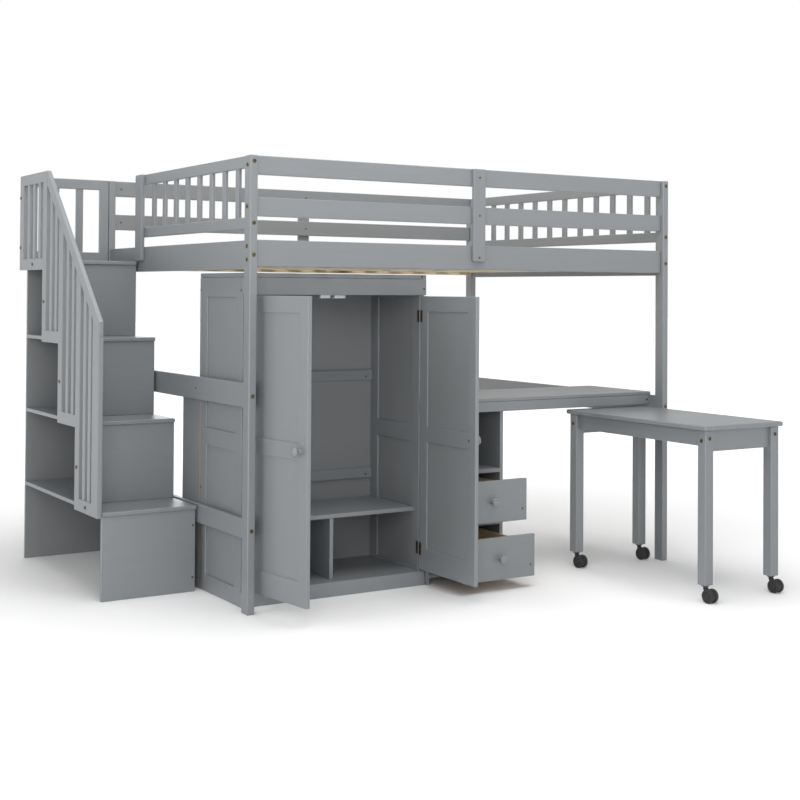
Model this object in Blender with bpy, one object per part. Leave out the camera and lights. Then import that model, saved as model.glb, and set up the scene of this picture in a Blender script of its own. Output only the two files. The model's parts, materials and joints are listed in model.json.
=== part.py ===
"""Full-size loft bed with a storage stair, a wardrobe, a desk with drawers and a rolling table.

Metres, +Z up.  X runs along the bed, Y from its front to its back.  Positions in this file
are measured from the outer front left corner of the bed at floor level; place() then moves
everything so that the frame's origin is the middle of the front left post's foot.
"""
import math

import bmesh
import bpy
from mathutils import Matrix, Vector

# ------------------------------------------------------------------ driving dimensions
GAP = 0.0003                 # clearance kept between pieces that touch

# bed frame
BED_L, BED_W = 2.000, 1.500  # outer length (X) and width (Y), over the posts
POST_X, POST_Y = 0.030, 0.050
UNDER_BED_H = 1.241          # floor to the underside of the long side rails
SIDE_RAIL_H = 0.096
GUARD_GAP_LOW = 0.084
MID_RAIL_H = 0.069
GUARD_GAP_HIGH = 0.081
TOP_RAIL_H = 0.069
RAIL_T = 0.020
STILE_T, STILE_W = 0.0147, 0.058   # flat board over the middle of the long rails
STILE_LIFT = 0.032                 # its lower end above the side rail's underside

# bed ends
END_T, END_SET = 0.018, 0.008      # board thickness, and how far it sits inside the post
END_RAIL_H, END_RAIL_DROP = 0.105, 0.011
END_TOP_H = 0.044
END_LOW_H, END_LOW_LIFT = 0.043, 0.134
SPINDLE_W, SPINDLE_T = 0.030, 0.012
LEFT_SPINDLES, LEFT_END_GAP = 8, 0.070
RIGHT_SPINDLES, RIGHT_END_GAP = 12, 0.050
ACCESS_W = 0.410             # way in from the stair, back post to guard
ACCESS_STILE_W, ACCESS_STILE_T = 0.072, 0.016
ACCESS_STILE_CLEAR = 0.002   # its lower end above the landing
STRETCHER_H = 0.088
UPPER_STRETCHER_Z = 0.733
LOWER_STRETCHER_Z, LOWER_STRETCHER_H = 0.262, 0.071

# slats
SLAT_N, SLAT_W, SLAT_T = 14, 0.070, 0.017
LEDGER_W, LEDGER_H = 0.018, 0.012
SLAT_END_GAP = 0.012

# wardrobe
WARD_SIDE_CLEAR = 0.003      # to the front left post
WARD_TOP_CLEAR = 0.022       # to the side rail
WARD_SET = 0.110             # door faces behind the bed's front
WARD_W, WARD_D = 0.789, 0.400
WARD_SIDE_T, WARD_BOARD_T, WARD_BACK_T = 0.022, 0.0155, 0.010
WARD_FACE_T = 0.016          # doors, header and plinth
WARD_STILE_W, WARD_TOP_RAIL_H, WARD_LOW_RAIL_H = 0.058, 0.075, 0.065
WARD_MID_RAIL_Z, WARD_MID_RAIL_H = 0.560, 0.067
WARD_RELIEF = 0.007
HEADER_H, PLINTH_H = 0.064, 0.055
SHELF_Z, SHELF_SET = 0.287, 0.030
BACK_RAIL_H, BACK_RAIL_T = 0.042, 0.012
BACK_RAIL_Z = (0.380, 0.785)
ROD_R, ROD_DROP = 0.0125, 0.038
DIVIDER_T = 0.016

# doors
DOOR_CLEAR = 0.003           # above and between the doors
DOOR_FOOT_CLEAR = 0.010
DOOR_INSET = 0.012           # hinge line in from the wardrobe's outer side
DOOR_STILE_W = 0.054
DOOR_TOP_H, DOOR_MID_H, DOOR_LOW_H = 0.060, 0.060, 0.087
DOOR_MID_Z = 0.567
DOOR_RELIEF = 0.004
KNOB_R, KNOB_L, KNOB_IN, KNOB_Z = 0.0175, 0.033, 0.043, 0.600
LEFT_OPEN, RIGHT_OPEN = math.radians(82.5), math.radians(90.0)

# low bookcase behind the wardrobe
BOOK_H, BOOK_D, BOOK_T, BOOK_BACK_T = 0.760, 0.160, 0.016, 0.005
BOOK_FOOT = 0.050

# stair
STAIR_W = 0.372              # tread width, guard to right side
STAIR_CLEAR = 0.002          # to the bed's left end
STAIR_FRONT = 0.458          # first riser behind the bed's front
RUN = 0.2165
STEP_T, NOSE = 0.016, 0.008
RISER_T, SIDE_T = 0.016, 0.016
FIRST_RISE = 0.330
LANDING_LIFT = 0.033         # landing above the side rail's underside
STAIR_BACK_T = 0.012
STAIR_BACK_SET = 0.083       # stair back panel in front of the bed's back
LANDING_BACK_SET = 0.029     # landing's back edge in front of the bed's back
GUARD_T = 0.020
GUARD_STILE_W, NEWEL_W, GUARD_RAIL_H = 0.050, 0.066, 0.048
GUARD_DROP = 0.040           # guard's lower edges below the landing's top
GUARD_STEP_DROP = 0.022      # and below each tread's top
GUARD_SLAT_W, GUARD_SLAT_T = 0.030, 0.012
GUARD_BARS_STEP, GUARD_BARS_TOP = 2, 3     # bars in each stepped bay, and in the landing's
HANDRAIL_H, HANDRAIL_END_Z = 0.042, 1.035
BACK_GUARD_T, BACK_GUARD_STILE_W, BACK_GUARD_BAR_W, BACK_GUARD_BARS = 0.018, 0.040, 0.032, 2

# desk and drawer unit
DESK_H, DESK_T, DESK_SET, DESK_D = 0.7237, 0.0144, 0.0885, 0.4115
APRON_H, APRON_T = 0.040, 0.0155
DESK_BEARING = 0.008         # desktop over the right stretcher
UNIT_W, UNIT_T, UNIT_SIDE_CLEAR = 0.371, 0.016, 0.003
UNIT_BACK_T, UNIT_BACK_CLEAR = 0.008, 0.005
UNIT_FOOT, UNIT_SHELF_Z = 0.024, 0.421
DRAWER_FRONT_T, DRAWER_CLEAR = 0.016, 0.002
LOWER_FRONT_Z, UPPER_FRONT_Z, FRONT_H = 0.044, 0.255, 0.164
DRAWER_BOX_H, DRAWER_BOX_LIFT = 0.120, 0.012   # the lift is above the front's lower edge
DRAWER_WALL, DRAWER_FLOOR = 0.012, 0.007
DRAWER_RUNNER = 0.0125       # side space for the runners
DRAWER_L = 0.355
UPPER_PULL, LOWER_PULL = 0.1845, 0.2375

# rolling table
TABLE_L, TABLE_W, TABLE_H, TABLE_T = 0.821, 0.413, 0.660, 0.018
TABLE_RIGHT_CLEAR = 0.018    # to the front right post's inner side
TABLE_UNDER_DESK = 0.036     # back end behind the desk's front edge, under it
LEG, LEG_INSET = 0.042, 0.012
TABLE_APRON_T, LONG_APRON_H, SHORT_APRON_H = 0.016, 0.061, 0.081
CASTER_H, CASTER_R, CASTER_TRAIL = 0.0630, 0.026, 0.024
CASTER_TURN = math.radians(-86.0)   # the casters trail towards the front, from +X
WHEEL_W, WHEEL_CLEAR, WHEEL_ROUND = 0.014, 0.001, 0.003
FORK_T, FORK_BEFORE, FORK_BEYOND, FORK_BELOW = 0.010, 0.010, 0.008, 0.009
PLATE_R, PLATE_T = 0.015, 0.006
AXLE_R, AXLE_CLEAR = 0.004, 0.0004

# ------------------------------------------------------------------ derived positions
SIDE_TOP = UNDER_BED_H + SIDE_RAIL_H
MID_Z = SIDE_TOP + GUARD_GAP_LOW
TOP_Z = MID_Z + MID_RAIL_H + GUARD_GAP_HIGH
POST_H = TOP_Z + TOP_RAIL_H
RAIL_SET = STILE_T + GAP
INNER_X = (POST_X + GAP, BED_L - POST_X - GAP)
INNER_Y = (POST_Y + GAP, BED_W - POST_Y - GAP)
END_X = (END_SET, END_SET + END_T)
LANDING_Z = UNDER_BED_H + LANDING_LIFT
RISE = (LANDING_Z - FIRST_RISE) / 3
STEP_TOPS = [FIRST_RISE + RISE * k for k in range(4)]
RISER_Y = [STAIR_FRONT + RUN * k for k in range(4)]
STAIR_X = (-STAIR_CLEAR - STAIR_W, -STAIR_CLEAR)
STAIR_BACK = BED_W - STAIR_BACK_SET
LANDING_BACK = BED_W - LANDING_BACK_SET
WARD_X = (POST_X + WARD_SIDE_CLEAR, POST_X + WARD_SIDE_CLEAR + WARD_W)
WARD_Y = (WARD_SET, WARD_SET + WARD_D)
WARD_H = UNDER_BED_H - WARD_TOP_CLEAR
WARD_IN_X = (WARD_X[0] + WARD_SIDE_T, WARD_X[1] - WARD_SIDE_T)
DESK_X0 = WARD_X[1] + GAP
UNIT_X = (DESK_X0 + UNIT_SIDE_CLEAR, DESK_X0 + UNIT_SIDE_CLEAR + UNIT_W)
UNIT_Y0 = DESK_SET + APRON_T + GAP
TABLE_X1 = BED_L - POST_X - TABLE_RIGHT_CLEAR
TABLE_X = (TABLE_X1 - TABLE_W, TABLE_X1)
TABLE_Y = (DESK_SET + TABLE_UNDER_DESK - TABLE_L, DESK_SET + TABLE_UNDER_DESK)

CORNER = Vector((-POST_X / 2, -POST_Y / 2, 0.0))


# ------------------------------------------------------------------ materials and helpers
def material(name, colour, roughness, metallic=0.0):
    mat = bpy.data.materials.new(name)
    mat.use_nodes = True
    shader = mat.node_tree.nodes["Principled BSDF"]
    shader.inputs["Base Color"].default_value = (*colour, 1.0)
    shader.inputs["Roughness"].default_value = roughness
    shader.inputs["Metallic"].default_value = metallic
    return mat


def looks():
    """The finishes, one material per kind of surface."""
    return {
        "paint": material("grey_paint", (0.238, 0.255, 0.270), 0.45),
        "pine": material("bare_pine", (0.560, 0.400, 0.230), 0.60),
        "steel": material("rod_steel", (0.600, 0.600, 0.590), 0.30, 1.0),
        "plastic": material("black_plastic", (0.020, 0.020, 0.022), 0.40),
    }


def place(name, mesh, pivot, mat, turn=0.0):
    """An object whose mesh is written about pivot, a point in corner coordinates."""
    obj = bpy.data.objects.new(name, mesh)
    bpy.context.scene.collection.objects.link(obj)
    obj.location = Vector(pivot) + CORNER
    obj.rotation_euler.z = turn
    mesh.materials.append(mat)
    return obj


def joined_boxes(name, boxes, pivot, mat, turn=0.0):
    """One closed body around boxes ((x0, x1), (y0, y1), (z0, z1)) that touch or overlap.

    Space is cut along every box face, and a wall is drawn wherever a filled cell meets an
    empty one, so boards that are glued together come out as a single skin.
    """
    cuts = [sorted({round(end, 6) for box in boxes for end in box[a]}) for a in range(3)]

    def filled(cell):
        if any(n < 0 or n > len(cuts[a]) - 2 for a, n in enumerate(cell)):
            return False
        mid = [(cuts[a][n] + cuts[a][n + 1]) / 2 for a, n in enumerate(cell)]
        return any(all(box[a][0] < mid[a] < box[a][1] for a in range(3)) for box in boxes)

    bm = bmesh.new()
    verts = {}

    def vert(i, j, k):
        if (i, j, k) not in verts:
            point = Vector((cuts[0][i], cuts[1][j], cuts[2][k])) - Vector(pivot)
            verts[i, j, k] = bm.verts.new(point)
        return verts[i, j, k]

    for i in range(len(cuts[0]) - 1):
        for j in range(len(cuts[1]) - 1):
            for k in range(len(cuts[2]) - 1):
                if not filled((i, j, k)):
                    continue
                for axis in range(3):
                    for side in (0, 1):
                        other = [i, j, k]
                        other[axis] += 1 if side else -1
                        if filled(tuple(other)):
                            continue
                        u, v = (axis + 1) % 3, (axis + 2) % 3
                        ring = []
                        for du, dv in ((0, 0), (1, 0), (1, 1), (0, 1)):
                            at = [i, j, k]
                            at[axis] += side
                            at[u] += du
                            at[v] += dv
                            ring.append(vert(*at))
                        bm.faces.new(ring if side else ring[::-1])
    mesh = bpy.data.meshes.new(name)
    bm.to_mesh(mesh)
    bm.free()
    return place(name, mesh, pivot, mat, turn)


def board(name, x, y, z, mat, round_by=0.0, segments=2):
    """A plain board between the given ends, with eased edges if round_by is set."""
    pivot = ((x[0] + x[1]) / 2, (y[0] + y[1]) / 2, (z[0] + z[1]) / 2)
    obj = joined_boxes(name, [(x, y, z)], pivot, mat)
    if round_by:
        ease(obj, round_by, segments)
    return obj


def ease(obj, width, segments=2):
    mod = obj.modifiers.new("eased_edges", 'BEVEL')
    mod.width = width
    mod.segments = segments
    mod.limit_method = 'ANGLE'
    mod.angle_limit = math.radians(40)


def ease_front(obj, width, segments=2):
    """Rounds only the upright-facing front edges, those at the mesh's lowest y."""
    mesh = obj.data
    front = min(v.co.y for v in mesh.vertices)
    weight = mesh.attributes.new("bevel_weight_edge", 'FLOAT', 'EDGE')
    for edge in mesh.edges:
        ends = [mesh.vertices[v].co for v in edge.vertices]
        level = abs(ends[0].z - ends[1].z) < 1e-6
        weight.data[edge.index].value = float(level and all(e.y < front + 1e-5 for e in ends))
    mod = obj.modifiers.new("eased_nose", 'BEVEL')
    mod.width = width
    mod.segments = segments
    mod.limit_method = 'WEIGHT'


def turned_mesh(name, profile, axis, steps):
    """A closed turned body; profile holds (along, radius) from end to end of the axis."""
    bm = bmesh.new()
    rings = []
    for along, radius in profile:
        ring = []
        for s in range(steps):
            a = 2 * math.pi * s / steps
            ring.append(bm.verts.new((radius * math.cos(a), radius * math.sin(a), along)))
        rings.append(ring)
    for low, high in zip(rings, rings[1:]):
        for s in range(steps):
            t = (s + 1) % steps
            bm.faces.new((low[s], low[t], high[t], high[s]))
    bm.faces.new(rings[0][::-1])
    bm.faces.new(rings[-1])
    turn = {'X': Matrix.Rotation(math.pi / 2, 4, 'Y'), 'Y': Matrix.Rotation(-math.pi / 2, 4, 'X'),
            'Z': Matrix.Identity(4)}[axis]
    bmesh.ops.transform(bm, matrix=turn, verts=bm.verts)
    mesh = bpy.data.meshes.new(name)
    bm.to_mesh(mesh)
    bm.free()
    mesh.shade_smooth()
    mesh.set_sharp_from_angle(angle=math.radians(35))
    return mesh


def tool(obj):
    """Marks obj as a cutter or a joined shape that isn't a piece of its own."""
    obj.hide_render = True
    obj.hide_viewport = True
    obj.display_type = 'WIRE'
    return obj


def boolean(obj, other, operation):
    mod = obj.modifiers.new(operation.lower(), 'BOOLEAN')
    mod.object = other
    mod.operation = operation
    mod.solver = 'EXACT'


def inside(span, gap):
    return (span[0] + gap, span[1] - gap)


# ------------------------------------------------------------------ bed frame
def posts(mat):
    ends_x = {"left": (0.0, POST_X), "right": (BED_L - POST_X, BED_L)}
    ends_y = {"front": (0.0, POST_Y), "back": (BED_W - POST_Y, BED_W)}
    for depth, y in ends_y.items():
        for side, x in ends_x.items():
            board(f"post_{depth}_{side}", x, y, (0.0, POST_H), mat, 0.002, 1)


def long_side(which, mat):
    """Three rails between the posts and the flat stile over their middle."""
    if which == "front":
        rail_y, stile_y = (RAIL_SET, RAIL_SET + RAIL_T), (0.0, STILE_T)
    else:
        rail_y = (BED_W - RAIL_SET - RAIL_T, BED_W - RAIL_SET)
        stile_y = (BED_W - STILE_T, BED_W)
    board(f"{which}_top_rail", INNER_X, rail_y, (TOP_Z, POST_H), mat, 0.002, 1)
    board(f"{which}_mid_rail", INNER_X, rail_y, (MID_Z, MID_Z + MID_RAIL_H), mat, 0.002, 1)
    board(f"{which}_side_rail", INNER_X, rail_y, (UNDER_BED_H, SIDE_TOP), mat, 0.002, 1)
    middle = (BED_L - STILE_W) / 2
    board(f"{which}_stile", (middle, middle + STILE_W), stile_y,
          (UNDER_BED_H + STILE_LIFT, POST_H), mat, 0.002, 1)


def spindles(x, y, z, count, end_gap):
    """Evenly spaced upright bars between y[0] and y[1]."""
    pitch = (y[1] - y[0] - 2 * end_gap - SPINDLE_W) / (count - 1)
    starts = [y[0] + end_gap + pitch * n for n in range(count)]
    return [(x, (s, s + SPINDLE_W), z) for s in starts]


def end_guard(name, x, y, count, end_gap, stile, mat):
    """Upright bars between two rails; stile is the x and y of a wider end board, or None."""
    low = UNDER_BED_H + END_LOW_LIFT
    bar_x = inside(x, (END_T - SPINDLE_T) / 2)
    bars_end = stile[1][0] if stile else y[1]
    boxes = [(x, y, (POST_H - END_TOP_H, POST_H)), (x, y, (low, low + END_LOW_H))]
    boxes += spindles(bar_x, (y[0], bars_end),
                      (low + END_LOW_H / 2, POST_H - END_TOP_H / 2), count, end_gap)
    if stile:
        boxes.append((stile[0], stile[1], (LANDING_Z + ACCESS_STILE_CLEAR, POST_H)))
    joined_boxes(name, boxes, (x[0], y[0], low), mat)


def bed_ends(mat):
    left, right = END_X, (BED_L - END_X[1], BED_L - END_X[0])
    stile_end = BED_W - POST_Y - ACCESS_W + ACCESS_STILE_W
    stile_y = (stile_end - ACCESS_STILE_W, stile_end)
    stile_x = (END_SET - ACCESS_STILE_T, END_SET)
    end_guard("left_guard", left, (INNER_Y[0], stile_end), LEFT_SPINDLES, LEFT_END_GAP,
              (stile_x, stile_y), mat)
    end_guard("right_guard", right, INNER_Y, RIGHT_SPINDLES, RIGHT_END_GAP, None, mat)
    rail_z = (UNDER_BED_H - END_RAIL_DROP, UNDER_BED_H - END_RAIL_DROP + END_RAIL_H)
    board("left_end_rail", left, INNER_Y, rail_z, mat, 0.002, 1)
    board("right_end_rail", right, INNER_Y, rail_z, mat, 0.002, 1)
    board("left_upper_stretcher", left, INNER_Y,
          (UPPER_STRETCHER_Z, UPPER_STRETCHER_Z + STRETCHER_H), mat, 0.002, 1)
    board("left_lower_stretcher", left, INNER_Y,
          (LOWER_STRETCHER_Z, LOWER_STRETCHER_Z + LOWER_STRETCHER_H), mat, 0.002, 1)
    desk_under = DESK_H - DESK_T
    board("right_stretcher", right, INNER_Y,
          (desk_under - GAP - STRETCHER_H, desk_under - GAP), mat, 0.002, 1)


def slats(mat):
    """Slats on a ledger along each side rail, fixed to them, so the deck is one body."""
    y0, y1 = RAIL_SET + RAIL_T + GAP, BED_W - RAIL_SET - RAIL_T - GAP
    ledger_z = (UNDER_BED_H + GAP, UNDER_BED_H + GAP + LEDGER_H)
    slat_z = (ledger_z[1], ledger_z[1] + SLAT_T)
    first = INNER_X[0] + SLAT_END_GAP
    pitch = (INNER_X[1] - SLAT_END_GAP - SLAT_W - first) / (SLAT_N - 1)
    boxes = [(INNER_X, (y0, y0 + LEDGER_W), ledger_z), (INNER_X, (y1 - LEDGER_W, y1), ledger_z)]
    boxes += [((first + pitch * n, first + pitch * n + SLAT_W), (y0, y1), slat_z)
              for n in range(SLAT_N)]
    joined_boxes("slat_deck", boxes, (BED_L / 2, BED_W / 2, ledger_z[0]), mat)


# ------------------------------------------------------------------ wardrobe
def framed_side(name, x, mat):
    """A framed side: proud stiles and rails around two thin panels, relieved both ways."""
    y = (WARD_Y[0] + WARD_FACE_T + GAP, WARD_Y[1] - WARD_BACK_T - GAP)
    z = (0.0, WARD_H - WARD_BOARD_T - GAP)
    boxes = [(x, (y[0], y[0] + WARD_STILE_W), z), (x, (y[1] - WARD_STILE_W, y[1]), z),
             (x, y, (z[1] - WARD_TOP_RAIL_H, z[1])), (x, y, (z[0], WARD_LOW_RAIL_H)),
             (x, y, (WARD_MID_RAIL_Z, WARD_MID_RAIL_Z + WARD_MID_RAIL_H)),
             (inside(x, WARD_RELIEF), y, z)]
    joined_boxes(name, boxes, (x[0], y[0], 0.0), mat)


def wardrobe(mats):
    mat = mats["paint"]
    framed_side("wardrobe_left_side", (WARD_X[0], WARD_IN_X[0]), mat)
    framed_side("wardrobe_right_side", (WARD_IN_X[1], WARD_X[1]), mat)
    face_y = (WARD_Y[0], WARD_Y[0] + WARD_FACE_T)
    back_y = (WARD_Y[1] - WARD_BACK_T, WARD_Y[1])
    top_z = (WARD_H - WARD_BOARD_T, WARD_H)
    room_x = inside(WARD_IN_X, GAP)
    board("wardrobe_top", WARD_X, WARD_Y, top_z, mat, 0.002, 1)
    board("wardrobe_header", WARD_X, face_y,
          (top_z[0] - GAP - HEADER_H, top_z[0] - GAP), mat, 0.0015, 1)
    rail_y = (back_y[0] - BACK_RAIL_T, back_y[0])
    boxes = [(WARD_X, back_y, (0.0, top_z[0] - GAP))]
    boxes += [(room_x, rail_y, (z, z + BACK_RAIL_H)) for z in BACK_RAIL_Z]
    joined_boxes("wardrobe_back", boxes, (WARD_X[0], back_y[0], 0.0), mat)
    floor_z = (PLINTH_H - WARD_BOARD_T, PLINTH_H)
    joined_boxes("wardrobe_floor", [
        (WARD_X, face_y, (0.0, PLINTH_H)),
        (room_x, (face_y[0], back_y[0] - GAP), floor_z)], (WARD_X[0], face_y[0], 0.0), mat)
    shelf_y = (face_y[1] + SHELF_SET, back_y[0] - GAP)
    board("wardrobe_shelf", room_x, shelf_y, (SHELF_Z, SHELF_Z + WARD_BOARD_T), mat, 0.0015, 1)
    middle = (WARD_X[0] + WARD_X[1]) / 2
    board("wardrobe_divider", (middle - DIVIDER_T / 2, middle + DIVIDER_T / 2), shelf_y,
          (PLINTH_H + GAP, SHELF_Z - GAP), mat, 0.0015, 1)
    rod = turned_mesh("wardrobe_rod", [(room_x[0], ROD_R), (room_x[1], ROD_R)], 'X', 24)
    place("wardrobe_rod", rod, (0.0, (face_y[1] + back_y[0]) / 2, top_z[0] - ROD_DROP),
          mats["steel"])


def knob(name, at, mat, turn, parent):
    """A turned knob whose stem runs into the piece that it is screwed to, along -Y."""
    profile = [(-0.006, 0.011), (0.003, 0.011), (0.012, 0.0085), (0.018, 0.0115),
               (0.023, 0.0163), (0.027, KNOB_R), (0.031, 0.014), (KNOB_L, 0.007)]
    mesh = turned_mesh(name, profile, 'Z', 16)
    mesh.transform(Matrix.Rotation(math.pi / 2, 4, 'X'))
    mesh.transform(Matrix.Translation(Vector(at)))
    obj = place(name, mesh, (0.0, 0.0, 0.0), mat)
    obj.location = parent.location
    obj.rotation_euler.z = turn
    return tool(obj)


def door(name, hand, mat):
    """A framed door about its hinge line; hand is +1 for the left leaf, -1 for the right."""
    hinge_x = WARD_X[0] + DOOR_INSET if hand > 0 else WARD_X[1] - DOOR_INSET
    width = (WARD_W - 2 * DOOR_INSET - DOOR_CLEAR) / 2
    z = (PLINTH_H + DOOR_FOOT_CLEAR, WARD_H - WARD_BOARD_T - GAP - HEADER_H - DOOR_CLEAR)
    pivot = (hinge_x, WARD_Y[0], z[0])

    def leaf(a, b):
        return (min(hand * a, hand * b) + hinge_x, max(hand * a, hand * b) + hinge_x)

    y = (WARD_Y[0], WARD_Y[0] + WARD_FACE_T)
    full = leaf(0.0, width)
    boxes = [(leaf(0.0, DOOR_STILE_W), y, z), (leaf(width - DOOR_STILE_W, width), y, z),
             (full, y, (z[1] - DOOR_TOP_H, z[1])), (full, y, (z[0], z[0] + DOOR_LOW_H)),
             (full, y, (DOOR_MID_Z, DOOR_MID_Z + DOOR_MID_H)),
             (full, inside(y, DOOR_RELIEF), z)]
    turn = -LEFT_OPEN if hand > 0 else RIGHT_OPEN
    obj = joined_boxes(name, boxes, pivot, mat, turn)
    grip = knob(name + "_knob", (hand * (width - KNOB_IN), 0.0, KNOB_Z - z[0]), mat, turn, obj)
    boolean(obj, grip, 'UNION')


def bookcase(mat):
    """A low open bookcase behind the wardrobe, facing the back."""
    y = (WARD_Y[1] + GAP, WARD_Y[1] + GAP + BOOK_D)
    x, z = WARD_X, (0.0, BOOK_H)
    room = inside(x, BOOK_T)
    half = (BOOK_FOOT + BOOK_H) / 2
    boxes = [((x[0], room[0]), y, z), ((room[1], x[1]), y, z),
             (x, y, (BOOK_H - BOOK_T, BOOK_H)), (x, y, (BOOK_FOOT - BOOK_T, BOOK_FOOT)),
             (x, y, (half - BOOK_T, half)), (x, (y[0], y[0] + BOOK_BACK_T), z)]
    joined_boxes("rear_bookcase", boxes, (x[0], y[0], 0.0), mat)


# ------------------------------------------------------------------ stair
def stair_steps(mat):
    """Treads that run through to the back as shelves, notched around the right side."""
    x = (STAIR_X[0] + GAP, STAIR_X[1])
    shelf_x = (x[0], STAIR_X[1] - SIDE_T - GAP)
    for n, top in enumerate(STEP_TOPS):
        z = (top - STEP_T, top)
        front = RISER_Y[n] - NOSE
        if n == 3:
            ease_front(board("stair_landing", x, (front, LANDING_BACK), z, mat), 0.003)
        else:
            notch = RISER_Y[n + 1] + RISER_T
            boxes = [(x, (front, notch), z),
                     (shelf_x, (front, STAIR_BACK - GAP), z)]
            obj = joined_boxes(f"stair_tread_{n + 1}", boxes, (x[0], front, z[0]), mat)
            ease_front(obj, 0.003)
        low = STEP_TOPS[n - 1] + GAP if n else 0.0
        board(f"stair_riser_{n + 1}", x, (RISER_Y[n], RISER_Y[n] + RISER_T),
              (low, z[0] - GAP), mat)


def stair_side(mat):
    """The stepped right side, one rectangle under each tread."""
    x = (STAIR_X[1] - SIDE_T, STAIR_X[1])
    ends = [r + RISER_T + GAP for r in RISER_Y] + [STAIR_BACK - GAP]
    boxes = [(x, (ends[n], STAIR_BACK - GAP), (0.0, STEP_TOPS[n] - STEP_T - GAP))
             for n in range(4)]
    joined_boxes("stair_right_side", boxes, (x[0], ends[0], 0.0), mat)
    board("stair_back_panel", (STAIR_X[0] + GAP, STAIR_X[1]),
          (STAIR_BACK, STAIR_BACK + STAIR_BACK_T), (0.0, LANDING_Z - STEP_T - GAP), mat)


def even_bars(span, count, width):
    room = (span[1] - span[0] - count * width) / (count + 1)
    starts = [span[0] + room * (n + 1) + width * n for n in range(count)]
    return [(s, s + width) for s in starts]


def slope():
    """Top line of the handrail: its start and end as (y, z), and its unit direction."""
    start = Vector((STAIR_FRONT, HANDRAIL_END_Z))
    end = Vector((RISER_Y[3] - NOSE, POST_H))
    return start, end, (end - start).normalized()


def side_prism(name, x, corners, mat):
    """A solid across x with the given (y, z) outline."""
    bm = bmesh.new()
    ends = [[bm.verts.new((side, c.x, c.y)) for c in corners] for side in x]
    bm.faces.new(ends[0])
    bm.faces.new(ends[1])
    for n in range(len(corners)):
        m = (n + 1) % len(corners)
        bm.faces.new((ends[0][n], ends[0][m], ends[1][m], ends[1][n]))
    bmesh.ops.recalc_face_normals(bm, faces=bm.faces)
    mesh = bpy.data.meshes.new(name)
    bm.to_mesh(mesh)
    bm.free()
    return place(name, mesh, (0.0, 0.0, 0.0), mat)


def stair_guard(mat):
    """Stepped outer guard: a stile at each riser, rails under the bars, sloped on top."""
    x = (STAIR_X[0] - GUARD_T, STAIR_X[0])
    bar_x = inside(x, (GUARD_T - GUARD_SLAT_T) / 2)
    lows = [top - GUARD_STEP_DROP for top in STEP_TOPS[:3]] + [LANDING_Z - GUARD_DROP]
    stiles = [(STAIR_FRONT, STAIR_FRONT + NEWEL_W)]
    stiles += [(r - NOSE, r - NOSE + GUARD_STILE_W) for r in RISER_Y[1:]]
    stiles.append((LANDING_BACK - GUARD_STILE_W, LANDING_BACK))
    feet = [lows[0]] + lows
    bars_z = (GUARD_RAIL_H / 2, POST_H - END_TOP_H / 2)
    boxes = [(x, stile, (foot, POST_H)) for stile, foot in zip(stiles, feet)]
    for low, first, last in zip(lows, stiles, stiles[1:]):
        boxes.append((x, (first[0], last[1]), (low, low + GUARD_RAIL_H)))
        count = GUARD_BARS_TOP if last is stiles[-1] else GUARD_BARS_STEP
        boxes += [(bar_x, bar, (low + bars_z[0], bars_z[1]))
                  for bar in even_bars((first[1], last[0]), count, GUARD_SLAT_W)]
    boxes.append((x, (stiles[-2][0], stiles[-1][1]), (POST_H - END_TOP_H, POST_H)))
    obj = joined_boxes("stair_guard", boxes, (x[0], STAIR_FRONT, lows[0]), mat)

    start, _, along = slope()
    normal = Vector((-along.y, along.x))
    under = start - normal * (HANDRAIL_H + GAP)
    reach = along * BED_W
    corners = [under - reach, under + reach, under + reach + normal * POST_H,
               under - reach + normal * POST_H]
    boolean(obj, tool(side_prism("guard_slope_cutter", inside(x, -STAIR_W / 10), corners, mat)),
            'DIFFERENCE')


def handrail(mat):
    """The sloped rail on the guard, cut upright where it meets the landing's rail."""
    start, end, along = slope()
    drop = Vector((0.0, HANDRAIL_H / along.x))
    x = (STAIR_X[0] - GUARD_T, STAIR_X[0])
    ease(side_prism("stair_handrail", x, [start - drop, end - drop, end, start], mat), 0.002, 1)


def back_guard(mat):
    x = (STAIR_X[0] + GAP, STAIR_X[1])
    y = (LANDING_BACK - BACK_GUARD_T, LANDING_BACK)
    z = (LANDING_Z + GAP, POST_H)
    room = inside(x, BACK_GUARD_STILE_W)
    bar_y = inside(y, (BACK_GUARD_T - SPINDLE_T) / 2)
    boxes = [((x[0], room[0]), y, z), ((room[1], x[1]), y, z),
             (x, y, (z[1] - END_TOP_H, z[1])), (x, y, (z[0], z[0] + END_TOP_H))]
    boxes += [(bar, bar_y, inside(z, END_TOP_H / 2))
              for bar in even_bars(room, BACK_GUARD_BARS, BACK_GUARD_BAR_W)]
    joined_boxes("stair_back_guard", boxes, (x[0], y[0], z[0]), mat)


# ------------------------------------------------------------------ desk and drawers
def desk(mat):
    under = DESK_H - DESK_T
    right = BED_L - END_X[1] + DESK_BEARING
    board("desktop", (DESK_X0, right), (DESK_SET, DESK_SET + DESK_D), (under, DESK_H),
          mat, 0.003, 2)
    board("desk_apron", (DESK_X0, BED_L - END_X[1] - GAP), (DESK_SET, DESK_SET + APRON_T),
          (under - GAP - APRON_H, under - GAP), mat, 0.0015, 1)


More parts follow.
